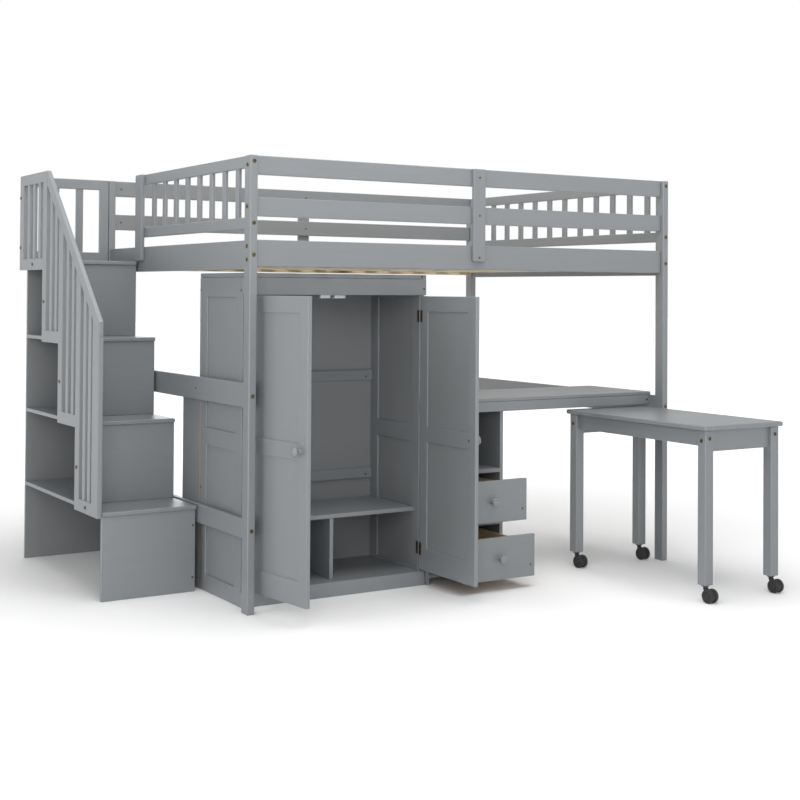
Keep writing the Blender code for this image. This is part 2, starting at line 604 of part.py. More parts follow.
def drawer_unit(mat):
    x, top = UNIT_X, DESK_H - DESK_T - GAP
    y = (UNIT_Y0, DESK_SET + DESK_D - UNIT_BACK_CLEAR)
    room = inside(x, UNIT_T)
    between = (LOWER_FRONT_Z + FRONT_H + DRAWER_CLEAR, UPPER_FRONT_Z - DRAWER_CLEAR)
    boxes = [((x[0], room[0]), y, (0.0, top)), ((room[1], x[1]), y, (0.0, top)),
             (x, y, (UNIT_SHELF_Z, UNIT_SHELF_Z + UNIT_T)),
             (x, y, (UNIT_FOOT, UNIT_FOOT + UNIT_T)),
             (x, (y[0], y[0] + DRAWER_FRONT_T), between),
             (x, (y[1] - UNIT_BACK_T, y[1]), (UNIT_FOOT, top))]
    joined_boxes("drawer_unit", boxes, (x[0], y[0], 0.0), mat)


def drawer(name, z0, pull, mat):
    """An open box behind an inset front, drawn out by pull."""
    x = inside(UNIT_X, UNIT_T + DRAWER_CLEAR)
    front = UNIT_Y0 - pull
    box_x = inside(UNIT_X, UNIT_T + DRAWER_RUNNER)
    y = (front, front + DRAWER_L)
    base = z0 + DRAWER_BOX_LIFT
    wall_z = (base, base + DRAWER_BOX_H)
    boxes = [(x, (front, front + DRAWER_FRONT_T), (z0, z0 + FRONT_H)),
             ((box_x[0], box_x[0] + DRAWER_WALL), y, wall_z),
             ((box_x[1] - DRAWER_WALL, box_x[1]), y, wall_z),
             (box_x, (y[1] - DRAWER_WALL, y[1]), wall_z),
             (box_x, y, (base, base + DRAWER_FLOOR))]
    middle = (x[0] + x[1]) / 2
    obj = joined_boxes(name, boxes, (middle, front, z0), mat)
    boolean(obj, knob(name + "_knob", (0.0, 0.0, FRONT_H / 2), mat, 0.0, obj), 'UNION')


# ------------------------------------------------------------------ rolling table
def table(mats):
    mat = mats["paint"]
    x, y = TABLE_X, TABLE_Y
    board("table_top", x, y, (TABLE_H - TABLE_T, TABLE_H), mat, 0.004, 2)
    leg_x, leg_y = inside(x, LEG_INSET), inside(y, LEG_INSET)
    top = TABLE_H - TABLE_T - GAP
    legs_x = [(leg_x[0], leg_x[0] + LEG), (leg_x[1] - LEG, leg_x[1])]
    legs_y = [(leg_y[0], leg_y[0] + LEG), (leg_y[1] - LEG, leg_y[1])]
    boxes = [(lx, ly, (CASTER_H + GAP, top)) for lx in legs_x for ly in legs_y]
    set_in = (LEG - TABLE_APRON_T) / 2
    for lx in legs_x:
        boxes.append((inside(lx, set_in), leg_y, (top - LONG_APRON_H, top)))
    for ly in legs_y:
        boxes.append((leg_x, inside(ly, set_in), (top - SHORT_APRON_H, top)))
    joined_boxes("table_base", boxes, (leg_x[0], leg_y[0], 0.0), mat)
    for depth, ly in zip(("front", "back"), legs_y):
        for side, lx in zip(("left", "right"), legs_x):
            caster(f"{depth}_{side}", sum(lx) / 2, sum(ly) / 2, mats["plastic"])


def caster(name, x, y, mat):
    """A twin-wheel caster: a fork that swivels under the leg, and wheels on one axle."""
    swivel = Vector((x, y, CASTER_H))
    half_fork = FORK_T / 2
    body = joined_boxes("caster_fork_" + name, [
        ((x - FORK_BEFORE, x + CASTER_TRAIL + FORK_BEYOND), (y - half_fork, y + half_fork),
         (CASTER_R - FORK_BELOW, CASTER_H - PLATE_T * 0.8))], swivel, mat, CASTER_TURN)
    plate = turned_mesh("caster_plate", [(-PLATE_T, PLATE_R), (0.0, PLATE_R)], 'Z', 24)
    boolean(body, tool(place("caster_plate_" + name, plate, swivel, mat)), 'UNION')
    trail = Matrix.Rotation(CASTER_TURN, 3, 'Z') @ Vector((CASTER_TRAIL, 0.0, 0.0))
    axle_at = swivel + trail + Vector((0.0, 0.0, CASTER_R - CASTER_H))
    bore_r = AXLE_R + AXLE_CLEAR
    bore = turned_mesh("caster_bore", [(-2 * FORK_T, bore_r), (2 * FORK_T, bore_r)], 'Y', 16)
    boolean(body, tool(place("caster_bore_" + name, bore, axle_at, mat, CASTER_TURN)), 'DIFFERENCE')
    inner = half_fork + WHEEL_CLEAR
    outer = inner + WHEEL_W
    edge = CASTER_R - WHEEL_ROUND
    half = [(inner, AXLE_R), (inner, edge), (inner + WHEEL_ROUND, CASTER_R),
            (outer - WHEEL_ROUND, CASTER_R), (outer, edge)]
    profile = [(-along, radius) for along, radius in reversed(half)] + half
    wheels = turned_mesh("caster_wheels", profile, 'Y', 24)
    place("caster_wheels_" + name, wheels, axle_at, mat, CASTER_TURN)


# ------------------------------------------------------------------ assembly
def main():
    for obj in list(bpy.data.objects):
        bpy.data.objects.remove(obj, do_unlink=True)
    mats = looks()
    paint = mats["paint"]
    posts(paint)
    long_side("front", paint)
    long_side("back", paint)
    bed_ends(paint)
    slats(mats["pine"])
    wardrobe(mats)
    door("left_door", 1, paint)
    door("right_door", -1, paint)
    bookcase(paint)
    stair_steps(paint)
    stair_side(paint)
    stair_guard(paint)
    handrail(paint)
    back_guard(paint)
    desk(paint)
    drawer_unit(paint)
    drawer("upper_drawer", UPPER_FRONT_Z, UPPER_PULL, paint)
    drawer("lower_drawer", LOWER_FRONT_Z, LOWER_PULL, paint)
    table(mats)
    bpy.context.view_layer.update()


main()
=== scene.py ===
# %% [markdown]
# # A full-size loft bed with a desk, in painted pine
#
# The bed stands over a wardrobe, a desk with drawers and a rolling table, and a stair of
# boxes leads up to it.  This notebook dresses a finished set of solids: each bare solid is
# replaced by boards with eased edges, and each finish is a small network of shader nodes.
# The solids come first, because every place below is read from them.

# %% The solids and their places
import json
import math

import bpy
import numpy as np
from mathutils import Matrix, Vector


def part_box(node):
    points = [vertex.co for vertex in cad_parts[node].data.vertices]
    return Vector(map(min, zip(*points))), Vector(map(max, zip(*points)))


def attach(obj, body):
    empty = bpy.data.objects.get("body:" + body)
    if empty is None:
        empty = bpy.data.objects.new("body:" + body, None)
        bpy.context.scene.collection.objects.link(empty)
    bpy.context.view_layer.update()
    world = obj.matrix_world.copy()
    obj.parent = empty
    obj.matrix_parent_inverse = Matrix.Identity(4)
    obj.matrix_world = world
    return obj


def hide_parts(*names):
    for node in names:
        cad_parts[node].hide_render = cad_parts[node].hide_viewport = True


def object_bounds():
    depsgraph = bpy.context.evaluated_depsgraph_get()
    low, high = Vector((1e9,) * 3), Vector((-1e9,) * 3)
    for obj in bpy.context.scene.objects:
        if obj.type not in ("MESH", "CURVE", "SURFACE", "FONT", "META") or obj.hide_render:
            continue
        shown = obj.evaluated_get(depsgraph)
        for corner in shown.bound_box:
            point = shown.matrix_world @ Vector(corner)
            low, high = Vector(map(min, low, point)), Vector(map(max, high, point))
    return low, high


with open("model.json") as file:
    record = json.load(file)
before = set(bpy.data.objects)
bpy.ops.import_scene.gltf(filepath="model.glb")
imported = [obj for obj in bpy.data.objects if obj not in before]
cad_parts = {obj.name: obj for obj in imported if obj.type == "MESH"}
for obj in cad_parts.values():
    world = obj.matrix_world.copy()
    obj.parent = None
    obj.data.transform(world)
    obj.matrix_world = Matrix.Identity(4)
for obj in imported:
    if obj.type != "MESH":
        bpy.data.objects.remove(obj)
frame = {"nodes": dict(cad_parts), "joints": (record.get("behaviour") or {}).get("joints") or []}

solid_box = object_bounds()
rng = np.random.default_rng(7)
print("solids:", len(frame["nodes"]), "box:", [round(v, 3) for v in (*solid_box[0], *solid_box[1])])

# %% [markdown]
# The camera stands low, a step to the left of the bed and well in front of it, and looks
# almost level.  A level camera keeps the posts upright; the lens is shifted down instead of
# tilted, as an architect's camera is.

# %% Camera
CAMERA_AT = Vector((-2.1227, -4.4286, 1.1572))
LENS_MM = 61.31
TURN, TILT, ROLL = map(math.radians, (31.869, 0.942, -0.378))
SHIFT_DOWN = 0.1647

forward = Vector((math.sin(TURN) * math.cos(TILT), math.cos(TURN) * math.cos(TILT), math.sin(TILT)))
level = Vector((math.cos(TURN), -math.sin(TURN), 0.0))
upright = level.cross(forward)
camera_right = level * math.cos(ROLL) - upright * math.sin(ROLL)
camera_up = upright * math.cos(ROLL) + level * math.sin(ROLL)

camera = bpy.data.objects.new("camera", bpy.data.cameras.new("camera"))
bpy.context.scene.collection.objects.link(camera)
camera.data.lens = LENS_MM
camera.data.shift_y = -SHIFT_DOWN
axes = np.column_stack([camera_right, camera_up, -forward, CAMERA_AT])
camera.matrix_world = Matrix([*axes.tolist(), [0.0, 0.0, 0.0, 1.0]])
bpy.context.scene.camera = camera
print("camera height", round(CAMERA_AT.z, 3), "lens", LENS_MM)

# %% [markdown]
# Shader maths reads badly as a pile of nodes, so one small class wraps a socket and lets
# ordinary arithmetic add the Math nodes.  `node` adds any other kind.

# %% Arithmetic on sockets
class Wire:
    """A socket of a material's node tree; +, - and * on it add Math nodes."""

    def __init__(self, tree, socket=None):
        self.tree, self.socket = tree, socket

    def node(self, kind, settings=(), inputs=(), outlet=0):
        """A new node: its settings first, then the values or links of its sockets."""
        made = self.tree.nodes.new("ShaderNode" + kind)
        for key, value in dict(settings).items():
            if key == "stops":
                ramp = made.color_ramp.elements
                while len(ramp) < len(value):
                    ramp.new(1.0)
                for stop, (place, colour) in zip(ramp, value):
                    stop.position, stop.color = place, (*colour, 1.0)
            else:
                setattr(made, key, value)
        for key, value in dict(inputs).items():
            if isinstance(value, Wire):
                self.tree.links.new(value.socket, made.inputs[key])
            else:
                made.inputs[key].default_value = value
        return Wire(self.tree, made.outputs[outlet])

    def math(self, operation, a, b):
        return self.node("Math", {"operation": operation}, {0: a, 1: b})

    def __add__(self, other):
        return self.math('ADD', self, other)

    def __sub__(self, other):
        return self.math('SUBTRACT', self, other)

    def __rsub__(self, other):
        return self.math('SUBTRACT', other, self)

    def __mul__(self, other):
        return self.math('MULTIPLY', self, other)

    __radd__, __rmul__ = __add__, __mul__

    def xyz(self):
        """The three parts of a vector."""
        split = self.node("SeparateXYZ", {}, {0: self})
        return [Wire(self.tree, part) for part in split.socket.node.outputs]

    def clipped(self, low, high):
        """The value squeezed from low..high to 0..1."""
        return self.node("MapRange", {"clamp": True}, {"Value": self, "From Min": low,
                                                       "From Max": high})

    def stretched(self, *scale):
        """This vector, times a scale for each axis."""
        return self.node("VectorMath", {"operation": 'MULTIPLY'}, {0: self, 1: scale})

    def noise(self, scale, detail=2.0, roughness=0.5):
        return self.node("TexNoise", {}, {"Vector": self, "Scale": scale, "Detail": detail,
                                          "Roughness": roughness})

    def shade(self, colour):
        """A fixed colour, or another wire, made lighter or darker by this value."""
        return self.node("VectorMath", {"operation": 'SCALE'}, {0: colour, "Scale": self})


def new_material(name):
    """A material with its Principled shader, and a wire to start from."""
    made = bpy.data.materials.new(name)
    made.use_nodes = True
    return made, made.node_tree.nodes["Principled BSDF"], Wire(made.node_tree)


def plug(shader, **inputs):
    """Feeds the shader's sockets, whose names are written with underscores."""
    for key, value in inputs.items():
        socket = shader.inputs[key.replace("_", " ")]
        if isinstance(value, Wire):
            value.tree.links.new(value.socket, socket)
        else:
            socket.default_value = value


def relief(start, height, depth_m, strength=1.0):
    """A bump whose full height stands depth_m proud."""
    return start.node("Bump", {}, {"Height": height, "Distance": depth_m, "Strength": strength})


print("a socket can be:", ", ".join(sorted(k for k in vars(Wire) if not k.startswith("_"))))


# %% [markdown]
# The bed is sprayed with a satin grey.  On solid pine the grain still shows through as
# faint streaks along each board, and the spray leaves a fine orange peel.  The rounded
# edges are painted paler: a painted highlight, where an eased edge catches the light.
# Every board carries three marks from its making: `grain`, a coordinate whose first axis
# runs along the board; `tint`, a small number of its own; and `edge`, which is 1 on a
# rounded edge and 0 on a flat.

# %% Satin paint
def board_marks(start):
    """The three marks that each board carries."""
    return (start.node("Attribute", {"attribute_name": "grain"}, outlet=1),
            start.node("Attribute", {"attribute_name": "tint"}, outlet=2),
            start.node("Attribute", {"attribute_name": "edge"}, outlet=2))


def satin_paint(name, colour, streak, gloss):
    """Paint over wood; streak is how much of the grain shows, gloss lowers the roughness."""
    made, shader, start = new_material(name)
    grain, tint, edge = board_marks(start)
    streaks = grain.stretched(2.0, 85.0, 85.0).noise(1.0, 3.0, 0.6)
    pores = grain.stretched(14.0, 420.0, 420.0).noise(1.0, 2.0, 0.6)
    clouds = grain.noise(3.2, 2.0)
    peel = grain.noise(520.0, 1.0)
    # edge * 0.20 is a painted highlight: the rounded edges are made paler, as where they catch the
    # light
    light = (clouds - 0.5) * 0.07 + (streaks - 0.5) * streak + tint * 0.024 + edge * 0.20 + 1.0
    rough = (streaks - 0.5) * 0.16 + (clouds - 0.5) * 0.12 + (0.50 - gloss)
    height = streaks * (4.0 * streak) + pores * (2.0 * streak) + peel * 0.16
    plug(shader, Base_Color=light.shade(colour), Roughness=rough,
         Normal=relief(start, height, 0.00035, 0.55), Coat_Weight=0.12, Coat_Roughness=0.35)
    return made


PAINT_GREY = (0.205, 0.218, 0.229)
PANEL_GREY = (0.208, 0.217, 0.225)
painted_wood = satin_paint("satin grey on pine", PAINT_GREY, 0.11, 0.08)
painted_panel = satin_paint("satin grey on panel", PANEL_GREY, 0.020, 0.10)
painted_knob = satin_paint("satin grey on turned wood", PAINT_GREY, 0.030, 0.22)
print("paints:", [finish.name for finish in (painted_wood, painted_panel, painted_knob)])

# %% [markdown]
# Slats and drawer boxes are left bare.  Pine is pale wood with darker late wood: rings
# around a pith that lies off to one side of the board, wandering a little on the way.  A
# knot is a brown eye that the rings close around, and each board has its own shade.

# %% Bare pine
def bare_pine(name):
    """Growth rings as sin(640 * distance across), between pale and late wood, and knots."""
    made, shader, start = new_material(name)
    grain, tint, edge = board_marks(start)
    sway = grain.stretched(2.5, 14.0, 14.0).noise(1.0, 2.0)
    _, across, through = grain.xyz()
    ring = (across + through * 0.6 + sway * 0.05) * 640.0
    late = (start.node("Math", {"operation": 'SINE'}, {0: ring}) + 1.0) * 0.5
    fibre = grain.stretched(6.0, 500.0, 500.0).noise(1.0, 2.0)
    spots = start.node("TexVoronoi", {"feature": 'F1'}, {
        "Vector": grain.stretched(3.2, 16.0, 16.0), "Scale": 1.0})
    knot = 1.0 - spots.clipped(0.10, 0.24)
    wood = start.node("ValToRGB", {"stops": [(0.0, (0.74, 0.62, 0.42)), (0.62, (0.66, 0.53, 0.33)),
                                             (1.0, (0.47, 0.34, 0.18))]},
                      {0: late * 0.75 + (fibre - 0.5) * 0.6})
    eye = start.node("Mix", {"data_type": 'RGBA'}, {0: knot * 0.85, 6: wood,
                                                    7: (0.20, 0.10, 0.045, 1.0)}, 2)
    # edge * 0.05 paints a faint highlight on the rounded edges
    light = tint * 0.14 + (sway - 0.5) * 0.3 + edge * 0.05 + 0.80
    plug(shader, Base_Color=light.shade(eye), Roughness=(fibre - 0.5) * 0.2 + 0.62,
         Normal=relief(start, fibre * 0.6 + late * 0.4, 0.0003, 0.5))
    return made


pine = bare_pine("bare pine")
print("bare wood:", pine.name)

# %% [markdown]
# Fibreboard is felted wood dust, so it has no grain at all, only a soft brown fluff.  It
# shows where the paint stops at a cut edge and in the bottoms of the drawers.

# %% Raw fibreboard
def fibreboard(name):
    """Brown felt: one fine noise lightens, darkens and raises it."""
    made, shader, start = new_material(name)
    grain, _, edge = board_marks(start)
    fluff = grain.noise(340.0, 3.0, 0.7)
    # edge * 0.08 paints a faint highlight on the rounded edges
    light = (fluff - 0.5) * 0.7 + edge * 0.08 + 1.0
    plug(shader, Base_Color=light.shade((0.30, 0.165, 0.085)), Roughness=0.85,
         Normal=relief(start, fluff, 0.0003, 0.6))
    return made


raw_edge = fibreboard("raw fibreboard")
print("raw board:", raw_edge.name)

# %% [markdown]
# Three metals and two plastics finish the hardware.  Antique brass is brass darkened by a
# bath, rubbed back on its high places; the rod is plated and nearly a mirror; the casters
# are black nylon with a softer tyre.

# %% Metals and plastics
def antique_brass(name):
    """Dark metal, rubbed back to brass where a cloudy noise is high."""
    made, shader, start = new_material(name)
    place = start.node("TexCoord", outlet=3)
    patina = place.noise(230.0, 3.0, 0.6).clipped(0.35, 0.68)
    colour = start.node("Mix", {"data_type": 'RGBA'}, {
        0: patina, 6: (0.045, 0.032, 0.020, 1.0), 7: (0.27, 0.195, 0.100, 1.0)}, 2)
    plug(shader, Base_Color=colour, Metallic=1.0, Roughness=0.52 - patina * 0.2)
    return made


def plated_steel(name):
    """Bright metal whose roughness follows faint smears along the tube."""
    made, shader, start = new_material(name)
    place = start.node("TexCoord", outlet=3)
    smear = place.stretched(8.0, 120.0, 120.0).noise(1.0, 3.0)
    plug(shader, Base_Color=(0.62, 0.62, 0.61, 1.0), Metallic=1.0, Roughness=smear * 0.16 + 0.10)
    return made


def moulded_plastic(name, colour, rough, grain_size):
    """A moulded surface; grain_size is the scale of its fine spark-eroded texture."""
    made, shader, start = new_material(name)
    place = start.node("TexCoord", outlet=3)
    spark = place.noise(grain_size, 2.0, 0.6)
    dust = place.noise(60.0, 3.0)
    plug(shader, Base_Color=((dust - 0.5) * 0.5 + 1.0).shade(colour),
         Roughness=(dust - 0.5) * 0.25 + rough, Normal=relief(start, spark, 0.00012, 0.5))
    return made


brass = antique_brass("antique brass")
plated = plated_steel("plated steel")
black_nylon = moulded_plastic("black nylon", (0.016, 0.016, 0.018), 0.36, 1500.0)
black_tyre = moulded_plastic("black tyre", (0.022, 0.022, 0.023), 0.62, 900.0)
catch_plastic = moulded_plastic("pale catch plastic", (0.52, 0.53, 0.54), 0.40, 1200.0)
print("materials:", len(bpy.data.materials))

# %% [markdown]
# Every shape below is a *skin*: points, faces and the direction that each face corner looks
# in.  Keeping the directions with the shape lets a flat stay perfectly flat while the eased
# edge beside it shades round, which is what tells the eye that a board is sanded.

# %% Skins
class Skin:
    """One or more closed surfaces, with the marks that the finishes read."""

    def __init__(self, points, faces, looks, grain=None, tint=None, edge=None):
        self.points, self.faces, self.looks = points, faces, looks
        count = len(points)
        self.grain = points.copy() if grain is None else grain
        self.tint = np.zeros(count) if tint is None else tint
        self.edge = np.zeros(count) if edge is None else edge

    def __add__(self, other):
        shift = len(self.points)
        return Skin(np.concatenate([self.points, other.points]),
                    self.faces + [f + shift for f in other.faces], self.looks + other.looks,
                    np.concatenate([self.grain, other.grain]),
                    np.concatenate([self.tint, other.tint]),
                    np.concatenate([self.edge, other.edge]))

    def turned(self, angle, about):
        """The skin turned about an upright line through the point about."""
        c, s = math.cos(angle), math.sin(angle)
        spin = np.array([[c, -s, 0.0], [s, c, 0.0], [0.0, 0.0, 1.0]])
        about = np.array([*about[:2], 0.0])
        return Skin((self.points - about) @ spin.T + about, self.faces,
                    [n @ spin.T for n in self.looks], self.grain, self.tint, self.edge)


def joined(skins):
    """Many skins as one."""
    whole = skins[0]
    for more in skins[1:]:
        whole = whole + more
    return whole


def make_piece(name, skin, finish, body, stands_for=()):
    """Puts a skin into a mesh and lets it ride on its body."""
    mesh = bpy.data.meshes.new(name)
    mesh.from_pydata(skin.points, [], [face for block in skin.faces for face in block.tolist()])
    mesh.polygons.foreach_set("use_smooth", np.ones(len(mesh.polygons), bool))
    mesh.normals_split_custom_set(np.concatenate([n.reshape(-1, 3) for n in skin.looks]))
    for mark, kind, values in (("grain", 'FLOAT_VECTOR', skin.grain), ("tint", 'FLOAT', skin.tint),
                               ("edge", 'FLOAT', skin.edge)):
        field = "vector" if kind == 'FLOAT_VECTOR' else "value"
        mesh.attributes.new(mark, kind, 'POINT').data.foreach_set(
            field, np.ascontiguousarray(values, np.float32).ravel())
    mesh.materials.append(finish)
    piece = bpy.data.objects.new(name, mesh)
    bpy.context.scene.collection.objects.link(piece)
    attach(piece, body)
    if stands_for:
        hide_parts(*stands_for)


print("a piece keeps its marks as attributes: grain, tint, edge")


# %% [markdown]
# ## The eased board
#
# A board could be a cube with a Bevel modifier, but most of this bed is boards, so it pays
# to write the eased box down once as a formula.  Take a small ball, cut it in eight, and
# push the eighths out to the corners of the board: with `n` a direction on the ball and `s`
# the corner it belongs to, a point is `centre + s * (half size - r) + r * n`.  The
# directions come from two angles on a grid, one round the board and one from its foot to
# its top, and all the boards of a piece are worked out in one go.

# %% The eased board as a formula
EASE_STEPS = 3


def eased_box_pattern(steps=EASE_STEPS):
    """Corner signs, directions and faces of an eased box, the same for every board."""
    quarter = np.linspace(0.0, math.pi / 2, steps + 1)
    corner = np.arange(4) * math.pi / 2
    around = (corner[:, None] + quarter).ravel()
    rise = np.concatenate([quarter - math.pi / 2, quarter])
    v, u = np.meshgrid(rise, around, indexing="ij")
    look = np.stack([np.cos(v) * np.cos(u), np.cos(v) * np.sin(u), np.sin(v)], -1)
    middle = np.repeat(corner + math.pi / 4, steps + 1)
    sign = np.stack(np.broadcast_arrays(np.sign(np.cos(middle)), np.sign(np.sin(middle)),
                                        np.repeat([-1.0, 1.0], steps + 1)[:, None]), -1)
    grid = np.round(np.concatenate([sign, look], -1).reshape(-1, 6), 9) + 0.0
    unique, index = np.unique(grid, axis=0, return_inverse=True)
    index = index.reshape(v.shape)
    right = np.roll(index, -1, axis=1)
    quads = np.stack([index[:-1], right[:-1], right[1:], index[1:]], -1).reshape(-1, 4)
    merged = [quads[(quads != np.roll(quads, 1, 1)).all(1)]]
    for column in range(4):
        pinched = quads[quads[:, column] == quads[:, (column + 1) % 4]]
        pinched = pinched[pinched[:, (column + 2) % 4] != pinched[:, (column + 3) % 4]]
        merged.append(np.delete(pinched, column, axis=1))
    first = np.arange(4) * (steps + 1)
    merged[0] = np.concatenate([merged[0], index[0][first][None, ::-1], index[-1][first][None]])
    return unique[:, :3], unique[:, 3:], [f for f in merged if len(f)]


SIGNS, LOOKS, BOX_FACES = eased_box_pattern()


def boards(spans, ease, along=None):
    """Eased boards between the given ends, one ((x0, x1), (y0, y1), (z0, z1)) each."""
    ends = np.array(spans, float).reshape(-1, 3, 2)
    centre, half = ends.mean(2), (ends[..., 1] - ends[..., 0]) / 2
    r = np.minimum(ease, half.min(1) * 0.96)[:, None, None]
    points = centre[:, None] + SIGNS * (half[:, None] - r) + r * LOOKS
    long_axis = half.argmax(1) if along is None else np.full(len(half), along)
    order = (long_axis[:, None] + np.arange(3)) % 3
    local = np.take_along_axis(points - centre[:, None], order[:, None], 2)
    grain = local + rng.uniform(-40.0, 40.0, (len(half), 1, 3))
    count = len(SIGNS)
    starts = np.arange(len(half))[:, None, None] * count
    edge = np.clip((1.0 - np.abs(LOOKS).max(1)) / 0.29, 0.0, 1.0)
    return Skin(points.reshape(-1, 3), [(f + starts).reshape(-1, f.shape[1]) for f in BOX_FACES],
                [np.broadcast_to(LOOKS[f], (len(half), *f.shape, 3)).reshape(-1, f.shape[1], 3)
                 for f in BOX_FACES],
                grain.reshape(-1, 3), np.repeat(rng.uniform(-1.0, 1.0, len(half)), count),
                np.tile(edge, len(half)))


print("one eased board:", len(SIGNS), "points")


# %% [markdown]
# A few boards aren't boxes: the handrail is cut on a slope, the stair's side goes up in
# steps.  Those are an *outline* carried through a thickness, with the rim drawn in a little
# near each face.

# %% Outlined boards
def outlined_board(outline, low, high, axis, ease, steps=EASE_STEPS):
    """A flat board with any outline, given anticlockwise as seen from the end of axis.

    The rim is a quarter round at each face: at an angle e above the board's middle the
    outline stands back by ease * (1 - cos e), and looks along outward * cos e + axis * sin e.
    """
    flat = np.asarray(outline, float)
    ahead = np.roll(flat, -1, 0) - flat
    ahead /= np.linalg.norm(ahead, axis=1)[:, None]
    inward = np.stack([-ahead[:, 1], ahead[:, 0]], 1)
    before = np.roll(inward, 1, 0)
    mitre = (inward + before) / (1.0 + (inward * before).sum(1))[:, None]
    quarter = np.linspace(0.0, math.pi / 2, steps + 1)
    e = np.concatenate([quarter - math.pi / 2, quarter])
    level = np.repeat([low + ease, high - ease], steps + 1) + ease * np.sin(e)
    plane = flat + (ease * (1.0 - np.cos(e)))[:, None, None] * mitre
    rings, count = plane.shape[:2]

    def placed(depth, across):
        depth = np.broadcast_to(depth, (*across.shape[:2], 1))
        return np.roll(np.concatenate([depth, across], 2), axis, axis=2)
    points = placed(level[:, None, None], plane).reshape(-1, 3)
    look = placed(np.sin(e)[:, None, None], np.cos(e)[:, None, None] * -inward[None])
    index = np.arange(rings * count).reshape(rings, count)
    after = np.roll(index, -1, 1)
    walls = np.stack([index[:-1], after[:-1], after[1:], index[1:]], -1).reshape(-1, 4)
    caps = np.stack([index[0][::-1], index[-1]])
    wall_looks = np.stack([look[:-1], look[:-1], look[1:], look[1:]], 2).reshape(-1, 4, 3)
    up = np.roll([1.0, 0.0, 0.0], axis)
    cap_looks = np.broadcast_to(np.stack([-up, up])[:, None], (2, count, 3))
    long_axis = int(np.ptp(points, axis=0).argmax())
    grain = np.roll(points, -long_axis, axis=1) + rng.uniform(-40.0, 40.0, 3)
    edge = np.clip((1.0 - np.maximum(np.cos(e), np.abs(np.sin(e)))) / 0.29, 0.0, 1.0)
    return Skin(points, [walls, caps], [wall_looks, cap_looks], grain,
                np.full(len(points), rng.uniform(-1.0, 1.0)), np.repeat(edge, count))


print("each rim is eased in", EASE_STEPS, "steps")


# %% [markdown]
# Knobs, bolt heads, the rod and the casters are turned: a profile of distances along an
# axis and radii, carried round it.  Where two stretches of the profile meet at less than 40
# degrees the surface shades as one curve, and where they meet at more it keeps its crease.
# A radius may also change on the way round, which is how a bolt gets its six-sided socket.

# %% Turned shapes
def turned_skin(profile, at, axis, count=32, socket=None):
    """A profile of (along, radius) pairs, carried round an axis.

    A point is at + along * axis + radius * (side * cos a + other * sin a), with a going once
    round.  In the socket's rows the radius is that of a hexagon: r * cos 30 / cos(a from the
    middle of its flat).
    """
    profile = np.asarray(profile, float)
    axis = np.asarray(axis, float) / np.linalg.norm(axis)
    side = np.cross(axis, [0.0, 0.0, 1.0] if abs(axis[2]) < 0.9 else [1.0, 0.0, 0.0])
    side /= np.linalg.norm(side)
    other = np.cross(axis, side)
    angle = np.arange(count) * 2 * math.pi / count
    radial = np.outer(np.cos(angle), side) + np.outer(np.sin(angle), other)
    radius = np.repeat(profile[:, 1:], count, 1)
    if socket is not None:
        sixth = math.pi / 3
        radius[socket] *= math.cos(sixth / 2) / np.cos(angle % sixth - sixth / 2)
    points = (np.asarray(at, float) + profile[:, :1, None] * axis
              + radius[..., None] * radial).reshape(-1, 3)
    rows = len(profile)
    index = np.arange(rows * count).reshape(rows, count)
    after = np.roll(index, -1, 1)
    walls = np.stack([index[:-1], after[:-1], after[1:], index[1:]], -1).reshape(-1, 4)
    caps = np.stack([index[0][::-1], index[-1]])
    run = np.diff(profile, axis=0)
    run /= np.maximum(np.linalg.norm(run, axis=1), 1e-9)[:, None]
    out = np.stack([-run[:, 1], run[:, 0]], 1)
    smooth = np.concatenate([[False], (out[1:] * out[:-1]).sum(1) > math.cos(math.radians(40)),
                             [False]])
    start_out, end_out = out.copy(), out.copy()
    mean = out[1:] + out[:-1]
    mean /= np.maximum(np.linalg.norm(mean, axis=1), 1e-9)[:, None]
    start_out[1:][smooth[1:-1]] = mean[smooth[1:-1]]
    end_out[:-1][smooth[1:-1]] = mean[smooth[1:-1]]

    def look(row, shift):
        ring = np.roll(radial, -shift, 0)
        return row[:, None, :1] * axis + row[:, None, 1:] * ring
    looks = np.stack([look(start_out, 0), look(start_out, 1), look(end_out, 1), look(end_out, 0)],
                     2).reshape(-1, 4, 3)
    ends = np.stack([np.repeat(-axis[None], count, 0), np.repeat(axis[None], count, 0)])
    return Skin(points, [walls, caps], [looks, ends])


bead = turned_skin([(0.0, 0.001), (0.010, 0.010), (0.020, 0.001)], (0, 0, 0), (0, 0, 1))
print("a turned bead has", len(bead.points), "points, and is",
      round(float(np.ptp(bead.points[:, 0])), 3), "m across")


# %% [markdown]
# Every place below comes from a solid's box.  `room` gives a box as three rows of low and
# high, and `cut` gives the same box with other ends on some axes.

# %% Boxes to build in
def room(node):
    """The solid's box, a row of low and high for each axis."""
    return np.column_stack(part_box(node)).astype(float)


def cut(whole, **ends):
    """The same box with other ends on the named axes."""
    new = np.array(whole, float)
    for axis, pair in ends.items():
        new["xyz".index(axis)] = pair
    return new


def let_in(span, depth):
    """A span made longer at both ends, so that a board runs a little into its neighbours."""
    return span[0] - depth, span[1] + depth


def paint_piece(name, skin, stands_for=(), body="bed_frame", finish=painted_wood):
    """A piece that takes the bed's grey paint."""
    make_piece(name, skin, finish, body, stands_for)


print("front left post fills", room("post_front_left").round(3).tolist())


# %% [markdown]
# ## The bed frame
#
# Posts, rails and stretchers are straight boards with machine-eased edges: a 4 mm round on
# the thick ones, 3 mm on the others.  Each takes its solid's box and replaces it.

